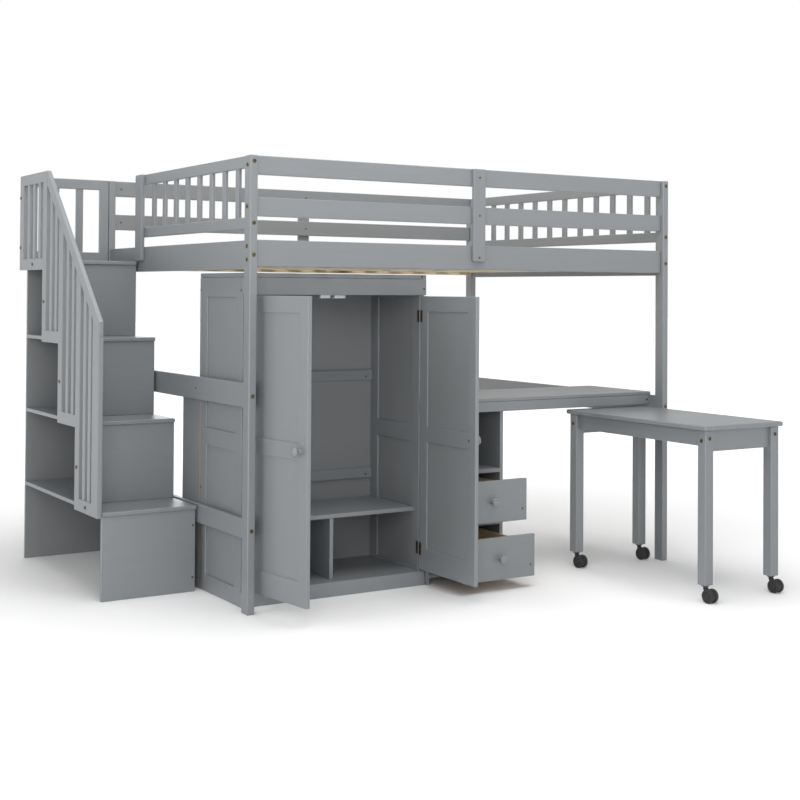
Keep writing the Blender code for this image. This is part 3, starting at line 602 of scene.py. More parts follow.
# %% Posts, rails and stretchers
PLAIN_BOARDS = {
    0.004: ["post_front_left", "post_front_right", "post_back_left", "post_back_right",
            "front_top_rail", "back_top_rail"],
    0.003: ["front_mid_rail", "front_side_rail", "front_stile", "back_mid_rail",
            "back_side_rail", "back_stile", "left_end_rail", "right_end_rail",
            "left_upper_stretcher", "left_lower_stretcher", "right_stretcher",
            "wardrobe_top", "desk_apron"],
    0.002: ["wardrobe_header", "wardrobe_shelf", "wardrobe_divider", "stair_riser_1",
            "stair_riser_2", "stair_riser_3", "stair_riser_4"],
}
for ease, nodes in PLAIN_BOARDS.items():
    for node in nodes:
        paint_piece(node + "_wood", boards([room(node)], ease), [node])
print("plain boards:", sum(map(len, PLAIN_BOARDS.values())))

# %% [markdown]
# The guards at the two ends are ladders of thin upright bars between two rails.  The bars
# are let into the rails by a couple of millimetres, so no end shows.

# %% End guards
GUARD_RAIL_TOP, GUARD_RAIL_LOW, BAR_W, BAR_T = 0.044, 0.043, 0.030, 0.012
LET_IN, LEFT_BARS, RIGHT_BARS, LEFT_GAP, RIGHT_GAP = 0.002, 8, 12, 0.070, 0.050


def guard_bars(rail, span, count, end_gap, z):
    """Evenly spaced bars along y in the middle of the rail's thickness."""
    starts = np.linspace(span[0] + end_gap, span[1] - end_gap - BAR_W, count)
    middle = rail[0].mean()
    return [cut(rail, x=(middle - BAR_T / 2, middle + BAR_T / 2), y=(s, s + BAR_W),
                z=let_in(z, LET_IN)) for s in starts]


rail = room("right_guard")
guard_z = rail[2].copy()
low_z = (guard_z[0], guard_z[0] + GUARD_RAIL_LOW)
top_z = (guard_z[1] - GUARD_RAIL_TOP, guard_z[1])
bar_z = (low_z[1], top_z[0])
paint_piece("right_guard_wood", boards([cut(rail, z=low_z), cut(rail, z=top_z)], 0.004)
            + boards(guard_bars(rail, rail[1], RIGHT_BARS, RIGHT_GAP, bar_z), 0.002), ["right_guard"])

ACCESS_STILE_W, ACCESS_STILE_T = 0.072, 0.016
whole = room("left_guard")
stile = cut(whole, x=(whole[0, 0], whole[0, 0] + ACCESS_STILE_T),
            y=(whole[1, 1] - ACCESS_STILE_W, whole[1, 1]))
rail = cut(whole, x=(stile[0, 1], whole[0, 1]))
paint_piece("left_guard_wood",
            boards([cut(rail, z=low_z), cut(rail, z=top_z)], 0.004) + boards([stile], 0.003)
            + boards(guard_bars(rail, (rail[1, 0], stile[1, 0]), LEFT_BARS, LEFT_GAP, bar_z),
                     0.002), ["left_guard"])
print("guard bars:", LEFT_BARS + RIGHT_BARS)

# %% [markdown]
# Fourteen bare pine slats lie across two ledgers that are screwed inside the side rails.

# %% Slats
SLATS, SLAT_W, SLAT_T, LEDGER_W, SLAT_END = 14, 0.070, 0.017, 0.018, 0.012
deck = room("slat_deck")
seat_z = deck[2, 1] - SLAT_T
starts = np.linspace(deck[0, 0] + SLAT_END, deck[0, 1] - SLAT_END - SLAT_W, SLATS)
slats = boards([cut(deck, x=(s, s + SLAT_W), z=(seat_z, deck[2, 1])) for s in starts], 0.002)
ledgers = boards([cut(deck, y=(deck[1, 0], deck[1, 0] + LEDGER_W), z=(deck[2, 0], seat_z)),
                  cut(deck, y=(deck[1, 1] - LEDGER_W, deck[1, 1]), z=(deck[2, 0], seat_z))],
                 0.0015)
make_piece("slats_wood", slats + ledgers, pine, "bed_frame", ["slat_deck"])
print("slats every", round(float(starts[1] - starts[0]), 3), "m")

# %% [markdown]
# ## The wardrobe
#
# Its sides and doors are frame and panel work: two stiles run the full height, the rails
# fit between them, and a thin panel sits back in each opening.  Where a rail meets a stile
# both are eased, and letting the rail in by half as much again leaves only a fine line.

# %% Frame and panel
WARD_STILE, WARD_FOOT, WARD_MID, WARD_HEAD = 0.058, 0.065, (0.560, 0.627), 0.075
SIDE_RELIEF, DOOR_RELIEF, FRAME_EASE = 0.007, 0.004, 0.0022


def framed_leaf(whole, wide, stile_w, rails, set_back):
    """The frame's skin and the panels' skin; wide is the axis that runs across the leaf."""
    thick, (low, high) = 1 - wide, whole[wide]
    inner = (low + stile_w, high - stile_w)

    def member(span, z, back=0.0):
        one = np.array(whole, float)
        one[wide], one[2] = span, z
        one[thick] += (back, -back)
        return one
    frame_boards = [member((low, inner[0]), whole[2]), member((inner[1], high), whole[2])]
    frame_boards += [member(let_in(inner, 1.4 * FRAME_EASE), z) for z in rails]
    panels = [member(let_in(inner, 0.004), let_in((under[1], over[0]), 0.004), set_back)
              for under, over in zip(rails, rails[1:])]
    return boards(frame_boards, FRAME_EASE), boards(panels, 0.0004, along=2)


for side in ("left", "right"):
    node = f"wardrobe_{side}_side"
    whole = room(node)
    foot, head = whole[2]
    wood, panels = framed_leaf(whole, 1, WARD_STILE, [(foot, foot + WARD_FOOT), WARD_MID,
                                                      (head - WARD_HEAD, head)], SIDE_RELIEF)
    paint_piece(node + "_frame", wood, [node])
    paint_piece(node + "_panels", panels, finish=painted_panel)
print("sides:", round(float(whole[2, 1] - whole[2, 0]), 3), "m high")

# %% [markdown]
# The back is a thin panel stiffened by two rails, and the floor is a board behind a plinth.
# The hanging rod is a tube that ends in two flanged cups; it's one profile with its mirror
# image, so both ends are alike.

# %% Back, floor and rod
BACK_T, BACK_RAIL_H, PLINTH_T, FLOOR_T = 0.010, 0.042, 0.016, 0.0155
BACK_RAIL_FEET = (0.380, 0.785)
whole = room("wardrobe_back")
face = whole[1, 1] - BACK_T
inner_x = room("wardrobe_rod")[0]
paint_piece("wardrobe_back_panel", boards([cut(whole, y=(face, whole[1, 1]))], 0.001),
            ["wardrobe_back"], finish=painted_panel)
paint_piece("wardrobe_back_rails", boards(
    [cut(whole, x=inner_x, y=(whole[1, 0], face), z=(z, z + BACK_RAIL_H))
     for z in BACK_RAIL_FEET], 0.002))
whole = room("wardrobe_floor")
plinth_back = whole[1, 0] + PLINTH_T
paint_piece("wardrobe_floor_wood", boards(
    [cut(whole, y=(whole[1, 0], plinth_back)),
     cut(whole, x=inner_x, y=(plinth_back, whole[1, 1]), z=(whole[2, 1] - FLOOR_T, whole[2, 1]))],
    0.0015), ["wardrobe_floor"])

whole = room("wardrobe_rod")
rod_r, rod_at = (whole[2, 1] - whole[2, 0]) / 2, whole.mean(1)
half = (whole[0, 1] - whole[0, 0]) / 2
cup = [(-half, 0.004), (-half, 0.021), (0.0015 - half, 0.022), (0.003 - half, 0.021),
       (0.004 - half, 0.0165), (0.011 - half, 0.0160), (0.012 - half, rod_r)]
rod = turned_skin(cup + [(-along, r) for along, r in reversed(cup)], rod_at, (1, 0, 0), 48)
make_piece("wardrobe_rod_tube", rod, plated, "bed_frame", ["wardrobe_rod"])
print("rod", round(2000 * rod_r), "mm thick")

# %% [markdown]
# The doors are made closed, because that is how they are drawn and fitted, and then turned
# about their hinge line into the place where they stand.  The joint's far limit says how
# far that is.  A knob is turned from one piece of wood, like a small mushroom.

# %% Doors and knobs
joints = {joint["name"]: joint for joint in frame["joints"]}
DOOR_STILE, DOOR_TOP, DOOR_LOW, DOOR_MID, DOOR_GAP = 0.054, 0.060, 0.087, (0.567, 0.627), 0.003
KNOB = [(-0.002, 0.0112), (0.0000, 0.0114), (0.0022, 0.0112), (0.0036, 0.0102), (0.0070, 0.0084),
        (0.0110, 0.0078), (0.0145, 0.0084), (0.0172, 0.0104), (0.0190, 0.0135), (0.0210, 0.0160),
        (0.0240, 0.0173), (0.0265, 0.0174), (0.0290, 0.0162), (0.0310, 0.0135), (0.0323, 0.0095),
        (0.0329, 0.0050), (0.0330, 0.0003)]
KNOB_IN, KNOB_Z = 0.043, 0.600
face_y = room("wardrobe_header")[1]
hinge_x = {hand: joints[f"{hand}_door_hinge"]["pos_m"][0] for hand in ("left", "right")}
door_w = (hinge_x["right"] - hinge_x["left"] - DOOR_GAP) / 2


def door_turn(hand):
    """How far the door stands from closed, and the hinge line that it turns about."""
    joint = joints[f"{hand}_door_hinge"]
    return -math.radians(max(joint["range_deg"], key=abs)), joint["pos_m"]


for hand, way in (("left", 1), ("right", -1)):
    node = hand + "_door"
    z = room(node)[2]
    x = sorted((hinge_x[hand], hinge_x[hand] + way * door_w))
    wood, panels = framed_leaf(np.array([x, face_y, z]), 0, DOOR_STILE,
                               [(z[0], z[0] + DOOR_LOW), DOOR_MID, (z[1] - DOOR_TOP, z[1])],
                               DOOR_RELIEF)
    knob_at = (hinge_x[hand] + way * (door_w - KNOB_IN), face_y[0], KNOB_Z)
    turn = door_turn(hand)
    paint_piece(node + "_frame", wood.turned(*turn), [node], node)
    paint_piece(node + "_panels", panels.turned(*turn), (), node, painted_panel)
    paint_piece(node + "_knob_wood", turned_skin(KNOB, knob_at, (0, -1, 0), 40).turned(*turn),
                (), node, painted_knob)
print("doors", round(door_w, 3), "m wide, knob at", KNOB_Z)

# %% [markdown]
# A low open bookcase stands behind the wardrobe.  Its back is thin fibreboard, painted on
# one face only, so its edge shows brown.

# %% Rear bookcase
BOOK_T, BOOK_FOOT, BOOK_BACK, BOOK_SKIN = 0.016, 0.050, 0.005, 0.0006
whole = room("rear_bookcase")
(x0, x1), (y0, y1), (z0, z1) = whole
inside_x = let_in((x0 + BOOK_T, x1 - BOOK_T), 0.001)
case_y = (y0 + BOOK_BACK, y1)
middle = (BOOK_FOOT + z1) / 2
case = [((x0, x0 + BOOK_T), case_y, (z0, z1 - BOOK_T)),
        ((x1 - BOOK_T, x1), case_y, (z0, z1 - BOOK_T)),
        ((x0, x1), case_y, (z1 - BOOK_T, z1)),
        (inside_x, case_y, (BOOK_FOOT - BOOK_T, BOOK_FOOT)),
        (inside_x, case_y, (middle - BOOK_T, middle))]
paint_piece("bookcase_boards", boards(case, 0.0015), ["rear_bookcase"])
paint_piece("bookcase_back_paint", boards(
    [((x0, x1), (case_y[0] - BOOK_SKIN, case_y[0]), (z0, z1))], 0.0002), finish=painted_panel)
make_piece("bookcase_back_core", boards(
    [((x0, x1), (y0, case_y[0] - BOOK_SKIN), (z0, z1))], 0.0004), raw_edge, "bed_frame")
print("bookcase", round(float(z1 - z0), 3), "m high")

# %% [markdown]
# ## The stair
#
# Each tread runs through to the back as a shelf, so that the risers close boxes below the
# steps.  The treads' noses are rounded, and the stepped right side is one board cut out in
# a single outline.

# %% Treads and sides
treads = [room(f"stair_tread_{n}") for n in (1, 2, 3)]
risers = [room(f"stair_riser_{n}") for n in (1, 2, 3, 4)]
side = room("stair_right_side")
for n, tread in enumerate(treads):
    (x0, x1), (y0, y1), z = tread
    notch_x, notch_y = side[0, 0] - 0.0003, risers[n + 1][1, 1]
    outline = [(x0, y0), (x1, y0), (x1, notch_y), (notch_x, notch_y), (notch_x, y1), (x0, y1)]
    paint_piece(f"stair_tread_{n + 1}_wood", outlined_board(outline, *z, 2, 0.0035),
                [f"stair_tread_{n + 1}"])
paint_piece("stair_landing_wood", boards([room("stair_landing")], 0.0035), ["stair_landing"])

under = [tread[2, 0] - 0.0003 for tread in treads] + [side[2, 1]]
front = [riser[1, 1] + 0.0003 for riser in risers]
outline = [(front[0], 0.0), (side[1, 1], 0.0), (side[1, 1], under[3]), (front[3], under[3])]
for n in (2, 1, 0):
    outline += [(front[n + 1], under[n]), (front[n], under[n])]
paint_piece("stair_right_side_panel", outlined_board(outline, *side[0], 0, 0.001),
            ["stair_right_side"], finish=painted_panel)
paint_piece("stair_back_panel_board", boards([room("stair_back_panel")], 0.0015),
            ["stair_back_panel"], finish=painted_panel)
print("step heights", [round(float(t[2, 1]), 3) for t in treads])

# %% [markdown]
# The outer guard climbs with the stair.  The tops of its stiles and bars are cut on the
# slope of the handrail, which lies over them: a top at distance `y` is as high as the
# straight line from the newel to the landing, less the rail's depth.

# %% Lines of the stair guard
STILE_W, NEWEL_W, RAIL_H, RISE_IN, LANDING_IN = 0.050, 0.066, 0.048, 0.022, 0.040
HANDRAIL_TOP, HANDRAIL_H, NOSE = 1.035, 0.042, 0.008
whole = room("stair_guard")
post_top = whole[2, 1]
nosings = [riser[1, 0] - NOSE for riser in risers[1:]]
stiles = [(whole[1, 0], whole[1, 0] + NEWEL_W)] + [(y, y + STILE_W) for y in nosings]
stiles.append((whole[1, 1] - STILE_W, whole[1, 1]))
lows = [tread[2, 1] - RISE_IN for tread in treads]
lows.append(room("stair_landing")[2, 1] - LANDING_IN)
feet = [lows[0]] + lows
slope = (post_top - HANDRAIL_TOP) / (nosings[2] - whole[1, 0])
drop = HANDRAIL_H * math.hypot(1.0, slope)


def rail_underside(y):
    """Height of the line under the handrail, at a place y along the stair."""
    return HANDRAIL_TOP + slope * (y - whole[1, 0]) - drop


print("handrail slope", round(math.degrees(math.atan(slope)), 1), "degrees")

# %% [markdown]
# A stile stands at each riser, a short rail joins the feet of each pair, and thin bars fill
# the bays.  Beside the landing the rail at the top is level, so its stiles are plain boards.

# %% Stair guard and handrail
def sloped_board(span, x, foot, sink, ease):
    """An upright whose top follows the underside of the handrail, sunk into it a little."""
    corners = [(span[0], foot), (span[1], foot), (span[1], rail_underside(span[1]) + sink),
               (span[0], rail_underside(span[0]) + sink)]
    return outlined_board(corners, *x, 0, ease)


def bay_bars(first, last, count):
    """Bars with equal gaps between two stiles."""
    gap = (last[0] - first[1] - count * BAR_W) / (count + 1)
    return [(first[1] + gap * (n + 1) + BAR_W * n, first[1] + (gap + BAR_W) * (n + 1))
            for n in range(count)]


x = whole[0]
bar_x = (x.mean() - BAR_T / 2, x.mean() + BAR_T / 2)
skins = [sloped_board(span, x, foot, LET_IN, 0.003) for span, foot in zip(stiles[:3], feet)]
top_rail_z = (post_top - GUARD_RAIL_TOP, post_top)
under_top = top_rail_z[0] + LET_IN * 1.5
skins.append(boards([(x, span, (foot, under_top)) for span, foot in zip(stiles[3:], feet[3:])]
                    + [(x, (stiles[3][0], stiles[4][1]), top_rail_z)], 0.003))
for n, low in enumerate(lows):
    between = let_in((stiles[n][1], stiles[n + 1][0]), 0.0045)
    skins.append(boards([(x, between, (low, low + RAIL_H))], 0.003))
    foot = low + RAIL_H - LET_IN
    if n < 3:
        skins += [sloped_board(bar, bar_x, foot, LET_IN, 0.002)
                  for bar in bay_bars(stiles[n], stiles[n + 1], 2)]
    else:
        skins.append(boards([(bar_x, bar, (foot, top_rail_z[0] + LET_IN))
                             for bar in bay_bars(stiles[n], stiles[n + 1], 3)], 0.002))
paint_piece("stair_guard_wood", joined(skins), ["stair_guard"])

ends_y = (whole[1, 0], nosings[2])
outline = [(ends_y[0], HANDRAIL_TOP - drop), (ends_y[1], post_top - drop),
           (ends_y[1], post_top), (ends_y[0], HANDRAIL_TOP)]
paint_piece("stair_handrail_wood", outlined_board(outline, *x, 0, 0.004), ["stair_handrail"])
print("stair guard:", len(stiles), "stiles")

# %% [markdown]
# A short guard with two wide bars closes the landing at the back.

# %% Guard across the back of the landing
BACK_STILE_W, BACK_BAR_W = 0.040, 0.032
whole = room("stair_back_guard")
(x0, x1), y, (z0, z1) = whole
inner = (x0 + BACK_STILE_W, x1 - BACK_STILE_W)
gap = (inner[1] - inner[0] - 2 * BACK_BAR_W) / 3
rails_z = [(z0, z0 + GUARD_RAIL_TOP), (z1 - GUARD_RAIL_TOP, z1)]
frame_boards = [((x0, inner[0]), y, (z0, z1)), ((inner[1], x1), y, (z0, z1))]
frame_boards += [(let_in(inner, 0.0042), y, z) for z in rails_z]
bars = [((s, s + BACK_BAR_W), (y.mean() - BAR_T / 2, y.mean() + BAR_T / 2),
         let_in((rails_z[0][1], rails_z[1][0]), LET_IN))
        for s in (inner[0] + gap, inner[0] + 2 * gap + BACK_BAR_W)]
paint_piece("stair_back_guard_wood", boards(frame_boards, 0.003) + boards(bars, 0.002),
            ["stair_back_guard"])
print("gap between its bars", round(float(gap), 3), "m")

# %% [markdown]
# ## The desk
#
# The desktop is a plain board over an apron; a drawer unit with an open shelf carries its
# left half.  The unit's thin back is let in between its sides.

# %% Desktop and drawer unit
paint_piece("desktop_wood", boards([room("desktop")], 0.003), ["desktop"])
UNIT_T, UNIT_BACK, UNIT_FOOT, UNIT_SHELF = 0.016, 0.008, 0.024, 0.421
drawers = {node: room(node) for node in ("upper_drawer", "lower_drawer")}
whole = room("drawer_unit")
(x0, x1), (y0, y1), (z0, z1) = whole
inner = let_in((x0 + UNIT_T, x1 - UNIT_T), 0.002)
between = (drawers["lower_drawer"][2, 1] + 0.002, drawers["upper_drawer"][2, 0] - 0.002)
unit = [((x0, x0 + UNIT_T), (y0, y1), (z0, z1)), ((x1 - UNIT_T, x1), (y0, y1), (z0, z1)),
        (inner, (y0, y1 - UNIT_BACK), (UNIT_SHELF, UNIT_SHELF + UNIT_T)),
        (inner, (y0, y1 - UNIT_BACK), (UNIT_FOOT, UNIT_FOOT + UNIT_T)),
        (inner, (y0, y0 + UNIT_T), between)]
paint_piece("drawer_unit_boards", boards(unit, 0.002), ["drawer_unit"])
paint_piece("drawer_unit_back", boards([(inner, (y1 - UNIT_BACK, y1), (UNIT_FOOT, z1))], 0.0005),
            finish=painted_panel)
print("drawer unit", round(float(x1 - x0), 3), "m wide")

# %% [markdown]
# The two drawers stand a little open and show bare pine boxes with a fibreboard bottom.  A
# box is narrower than its front by a runner's gap at each side.

# %% Drawers
FRONT_T, KNOB_OUT, WALL, BOTTOM = 0.016, 0.033, 0.012, 0.007
RUNNER, BOX_H, BOX_LIFT = 0.0105, 0.120, 0.012
for node, ((x0, x1), (y0, y1), (z0, z1)) in drawers.items():
    y0 += KNOB_OUT
    front_y = (y0, y0 + FRONT_T)
    paint_piece(node + "_front", boards([((x0, x1), front_y, (z0, z1))], 0.0025), [node], node)
    box_x, base = (x0 + RUNNER, x1 - RUNNER), z0 + BOX_LIFT
    z = (base, base + BOX_H)
    walls = [((box_x[0], box_x[0] + WALL), (front_y[1], y1), z),
             ((box_x[1] - WALL, box_x[1]), (front_y[1], y1), z),
             ((box_x[0] + WALL, box_x[1] - WALL), (y1 - WALL, y1), z)]
    make_piece(node + "_box", boards(walls, 0.0015), pine, node)
    make_piece(node + "_bottom", boards([((box_x[0] + WALL, box_x[1] - WALL),
                                          (front_y[1], y1 - WALL), (base, base + BOTTOM))],
                                        0.0005), raw_edge, node)
    paint_piece(node + "_knob_wood", turned_skin(KNOB, ((x0 + x1) / 2, y0, (z0 + z1) / 2),
                                                 (0, -1, 0), 40), (), node, painted_knob)
print("drawers:", list(drawers))

# %% [markdown]
# ## The rolling table
#
# Four square legs with aprons let into them, and a top whose edges are well rounded.

# %% Table
LEG, APRON_T, LONG_APRON, SHORT_APRON = 0.042, 0.016, 0.061, 0.081
paint_piece("table_top_wood", boards([room("table_top")], 0.005), ["table_top"], "rolling_table")
whole = room("table_base")
(x0, x1), (y0, y1), (z0, z1) = whole
legs_x, legs_y = ((x0, x0 + LEG), (x1 - LEG, x1)), ((y0, y0 + LEG), (y1 - LEG, y1))
legs = boards([(lx, ly, (z0, z1)) for lx in legs_x for ly in legs_y], 0.0035)
set_in = (LEG - APRON_T) / 2
aprons = [((lx[0] + set_in, lx[1] - set_in), let_in((y0 + LEG, y1 - LEG), 0.003),
           (z1 - LONG_APRON, z1)) for lx in legs_x]
aprons += [(let_in((x0 + LEG, x1 - LEG), 0.003), (ly[0] + set_in, ly[1] - set_in),
            (z1 - SHORT_APRON, z1)) for ly in legs_y]
paint_piece("table_base_wood", legs + boards(aprons, 0.0025), ["table_base"], "rolling_table")
print("table", round(float(room("table_top")[2, 1]), 3), "m high")

# %% [markdown]
# A twin-wheel caster has a web between its two wheels.  The web is round where the wheels
# are and rises as a neck to the plate that swivels under the leg.  Everything is drawn with
# the wheels trailing along +X and then turned, as the joint's own axis says.

# %% Casters
WEB_T, WEB_R, STEM_R, PLATE_R, PLATE_T = 0.010, 0.0222, 0.0075, 0.015, 0.004
TYRE = [(0.0048, 0.0040), (0.0060, 0.0045), (0.0060, 0.0222), (0.0066, 0.0243), (0.0085, 0.0256),
        (0.0130, 0.0260), (0.0172, 0.0256), (0.0192, 0.0243), (0.0200, 0.0225)]
FACE = [(0.0199, 0.0203), (0.0184, 0.0196), (0.0182, 0.0178), (0.0192, 0.0168), (0.0192, 0.0156),
        (0.0176, 0.0146), (0.0172, 0.0106), (0.0186, 0.0096), (0.0198, 0.0088), (0.0199, 0.0040),
        (0.0196, 0.0003)]


def caster(place):
    """The fork and the wheels: both are drawn trailing along +X, then turned together."""
    joint = joints["caster_roll_" + place]
    swivel = joints["caster_swivel_" + place]["pos_m"]
    turn = math.atan2(-joint["axis"][0], joint["axis"][1])
    trail = math.hypot(joint["pos_m"][0] - swivel[0], joint["pos_m"][1] - swivel[1])
    top, axle_z = room("caster_fork_" + place)[2, 1], joint["pos_m"][2]
    axle = (swivel[0] + trail, swivel[1], axle_z)
    half = WEB_T / 2
    web = turned_skin([(-half, WEB_R - 0.0015), (0.001 - half, WEB_R), (half - 0.001, WEB_R),
                       (half, WEB_R - 0.0015)], axle, (0, 1, 0), 48)
    x, z = swivel[0], top - PLATE_T
    neck = outlined_board([(z, x - 0.008), (z, x + 0.008), (axle_z + 0.019, x + trail - 0.006),
                           (axle_z + 0.004, x + trail), (axle_z + 0.006, x + 0.004),
                           (axle_z + 0.019, x - 0.006)], swivel[1] - half + 0.0004,
                          swivel[1] + half - 0.0004, 1, 0.0012)
    plate = turned_skin([(-0.0100, STEM_R - 0.001), (-0.0092, STEM_R), (-0.0045, STEM_R),
                         (-0.0040, 0.0135), (-0.0035, PLATE_R), (-0.0005, PLATE_R), (0.0, 0.0145)],
                        (*swivel[:2], top), (0, 0, 1), 40)
    both = [(-along, r) for along, r in reversed(TYRE + FACE)] + TYRE + FACE
    wheels = turned_skin(both, axle, (0, 1, 0), 64)
    about = (turn, swivel)
    return (web + neck + plate).turned(*about), wheels.turned(*about)


for place in ("front_left", "front_right", "back_left", "back_right"):
    fork, wheels = caster(place)
    make_piece(f"caster_fork_{place}_nylon", fork, black_nylon, "caster_swivel_" + place,
               ["caster_fork_" + place])
    make_piece(f"caster_wheels_{place}_tyres", wheels, black_tyre, "caster_wheel_" + place,
               ["caster_wheels_" + place])
print("casters:", 4)

# %% [markdown]
# ## Hardware
#
# The frame is bolted together with round-headed cap bolts in antique brass, each with a
# six-sided socket.  The lighter work is held by small flat screws of the same finish.  A
# head is one turned profile that rises over the rim and drops into the socket.

# %% Bolts and screws
BOLT = [(-0.004, 0.0030), (0.0000, 0.0032), (0.0000, 0.0072), (0.0009, 0.0075), (0.0019, 0.0069),
        (0.0024, 0.0056), (0.0025, 0.0038), (0.0007, 0.0037), (0.0005, 0.0003)]
SCREW = [(-0.003, 0.0020), (0.0000, 0.0022), (0.0000, 0.0044), (0.0006, 0.0044), (0.0011, 0.0036),
         (0.0012, 0.0019), (0.0004, 0.0018), (0.0003, 0.0002)]
SOCKET = slice(6, 8)
FRONT, BACK, LEFT, RIGHT = (0, -1, 0), (0, 1, 0), (-1, 0, 0), (1, 0, 0)


def heads(places, facing, profile=BOLT, rows=SOCKET):
    """A head at each of the places, all looking the same way."""
    return joined([turned_skin(profile, place, facing, 24, rows) for place in places])


def screws(places, facing):
    """Small flat heads with a round recess."""
    return heads(places, facing, SCREW, slice(5, 7))


def mid_z(*nodes):
    """The middle height of each solid."""
    return [float(room(node)[2].mean()) for node in nodes]


print("a head has", len(BOLT), "rows, its socket starts at row", SOCKET.start)

# %% [markdown]
# On a post a bolt faces each rail that it holds, and the deep side rail takes two.  The
# middle stiles and the back rails only have small screws.

# %% Bolts of the frame
SIDE_RAIL_BOLT, BACK_RAIL_SCREW = 0.024, 0.030

guard_heights = [np.mean(top_z), np.mean(low_z), *mid_z("left_end_rail")]
post = {name: room("post_" + name) for name in ("front_left", "front_right", "back_left",
                                                "back_right")}
left_heights = guard_heights + mid_z("left_upper_stretcher", "left_lower_stretcher")
right_heights = guard_heights + mid_z("right_stretcher")
bolts = []
for name, whole in post.items():
    heights = left_heights if "left" in name else right_heights
    ends = (whole[1, 0], FRONT) if "front" in name else (whole[1, 1], BACK)
    bolts.append(heads([(whole[0].mean(), ends[0], z) for z in heights], ends[1]))
    side = (whole[0, 0], LEFT) if "left" in name else (whole[0, 1], RIGHT)
    rail = room(name.split("_")[0] + "_side_rail")
    low, high = rail[2]
    rail_heights = mid_z("front_top_rail", "front_mid_rail")
    rail_heights += [low + SIDE_RAIL_BOLT, high - SIDE_RAIL_BOLT]
    bolts.append(heads([(side[0], rail[1].mean(), z) for z in rail_heights], side[1]))
make_piece("frame_bolts", joined(bolts), brass, "bed_frame")
print("bolts on the posts:", 2 * (len(left_heights) + len(right_heights)) + 4 * len(rail_heights))

stile_heights = mid_z("front_top_rail", "front_mid_rail", "front_side_rail")
bolts = []
for which, facing, column in (("front", FRONT, 0), ("back", BACK, 1)):
    whole = room(which + "_stile")
    bolts.append(screws([(whole[0].mean(), whole[1, column], z) for z in stile_heights], facing))
for node in ("back_top_rail", "back_mid_rail"):
    whole = room(node)
    bolts.append(screws([(x, whole[1, 0], whole[2].mean())
                         for x in (whole[0, 0] + BACK_RAIL_SCREW, whole[0].mean())], FRONT))
whole = room("left_upper_stretcher")
bolts.append(screws([(whole[0, 0], room("wardrobe_left_side")[1, 1] - 0.010, whole[2].mean())],
                    LEFT))
make_piece("stile_screws", joined(bolts), brass, "bed_frame")

# %% [markdown]
# The stair guard is bolted through its short rails, one bolt in each bay, and the wardrobe
# and desk are screwed at the corners.

# %% Bolts of the stair, screws of the wardrobe
STILE_BOLT_UP, FIRST_BOLT_ALONG = 0.165, 0.02
LAST_BOLT_IN, LAST_BOLT_DOWN, LAST_BOLT_UP = 0.012, 0.095, 0.097
RISER_SCREWS, RISER_IN = (0.055, 0.254), 0.010
guard = room("stair_guard")
landing_bay = ((stiles[3][1] + stiles[4][0]) / 2, lows[3] + RAIL_H / 2)
guard_places = [landing_bay] + [(sum(span) / 2, foot + STILE_BOLT_UP)
                                for span, foot in zip(stiles[1:4], feet[1:4])]
first_bar = bay_bars(stiles[0], stiles[1], 2)[0]
last_y = stiles[4][1] - LAST_BOLT_IN
guard_places += [(sum(first_bar) / 2 + FIRST_BOLT_ALONG, lows[0] + RAIL_H / 2),
                 (last_y, post_top - LAST_BOLT_DOWN), (last_y, lows[3] + LAST_BOLT_UP)]
make_piece("stair_bolts", heads([(guard[0, 0], y, z) for y, z in guard_places], LEFT), brass,
           "bed_frame")
riser = room("stair_riser_1")
make_piece("riser_screws", screws([(riser[0, 1] - RISER_IN, riser[1, 0], z)
                                   for z in RISER_SCREWS], FRONT), brass, "bed_frame")

CORNER_Z, HEADER_Z, LOW_Z = 1.155, 1.164, 0.393
HEADER_IN, TOP_IN, RAIL_IN, RAIL_UP, APRON_IN = 0.011, 0.021, 0.03, 0.015, 0.014
ward = room("wardrobe_left_side")
header, top = room("wardrobe_header"), room("wardrobe_top")
ward_screws = [screws([(ward[0, 0], y, z) for y, z in
                       ((ward[1, 0] + 0.012, CORNER_Z), (ward[1, 1] + 0.004, CORNER_Z),
                        (ward[1, 1] - 0.010, LOW_Z))], LEFT)]
for x in (header[0, 0] + HEADER_IN, header[0, 1] - HEADER_IN):
    ward_screws.append(screws([(x, header[1, 0], HEADER_Z)], FRONT))
ward_screws.append(screws([(top[0, 1] - TOP_IN, top[1, 0], top[2].mean()),
                           (top[0, 0] + TOP_IN, top[1, 0], top[2].mean())], FRONT))
rails = room("wardrobe_back")
ward_screws.append(screws([(x, rails[1, 0], z + RAIL_UP) for z in BACK_RAIL_FEET
                           for x in (inner_x[0] + RAIL_IN, inner_x[1] - RAIL_IN)], FRONT))
apron = room("desk_apron")
ward_screws.append(screws([(apron[0, 1] - APRON_IN, apron[1, 0], apron[2].mean())], FRONT))
make_piece("wardrobe_screws", joined(ward_screws), brass, "bed_frame")
print("screwed the wardrobe at", len(ward_screws), "places")

# %% [markdown]
# The table's legs are bolted from both outer faces, and each drawer front has one screw.

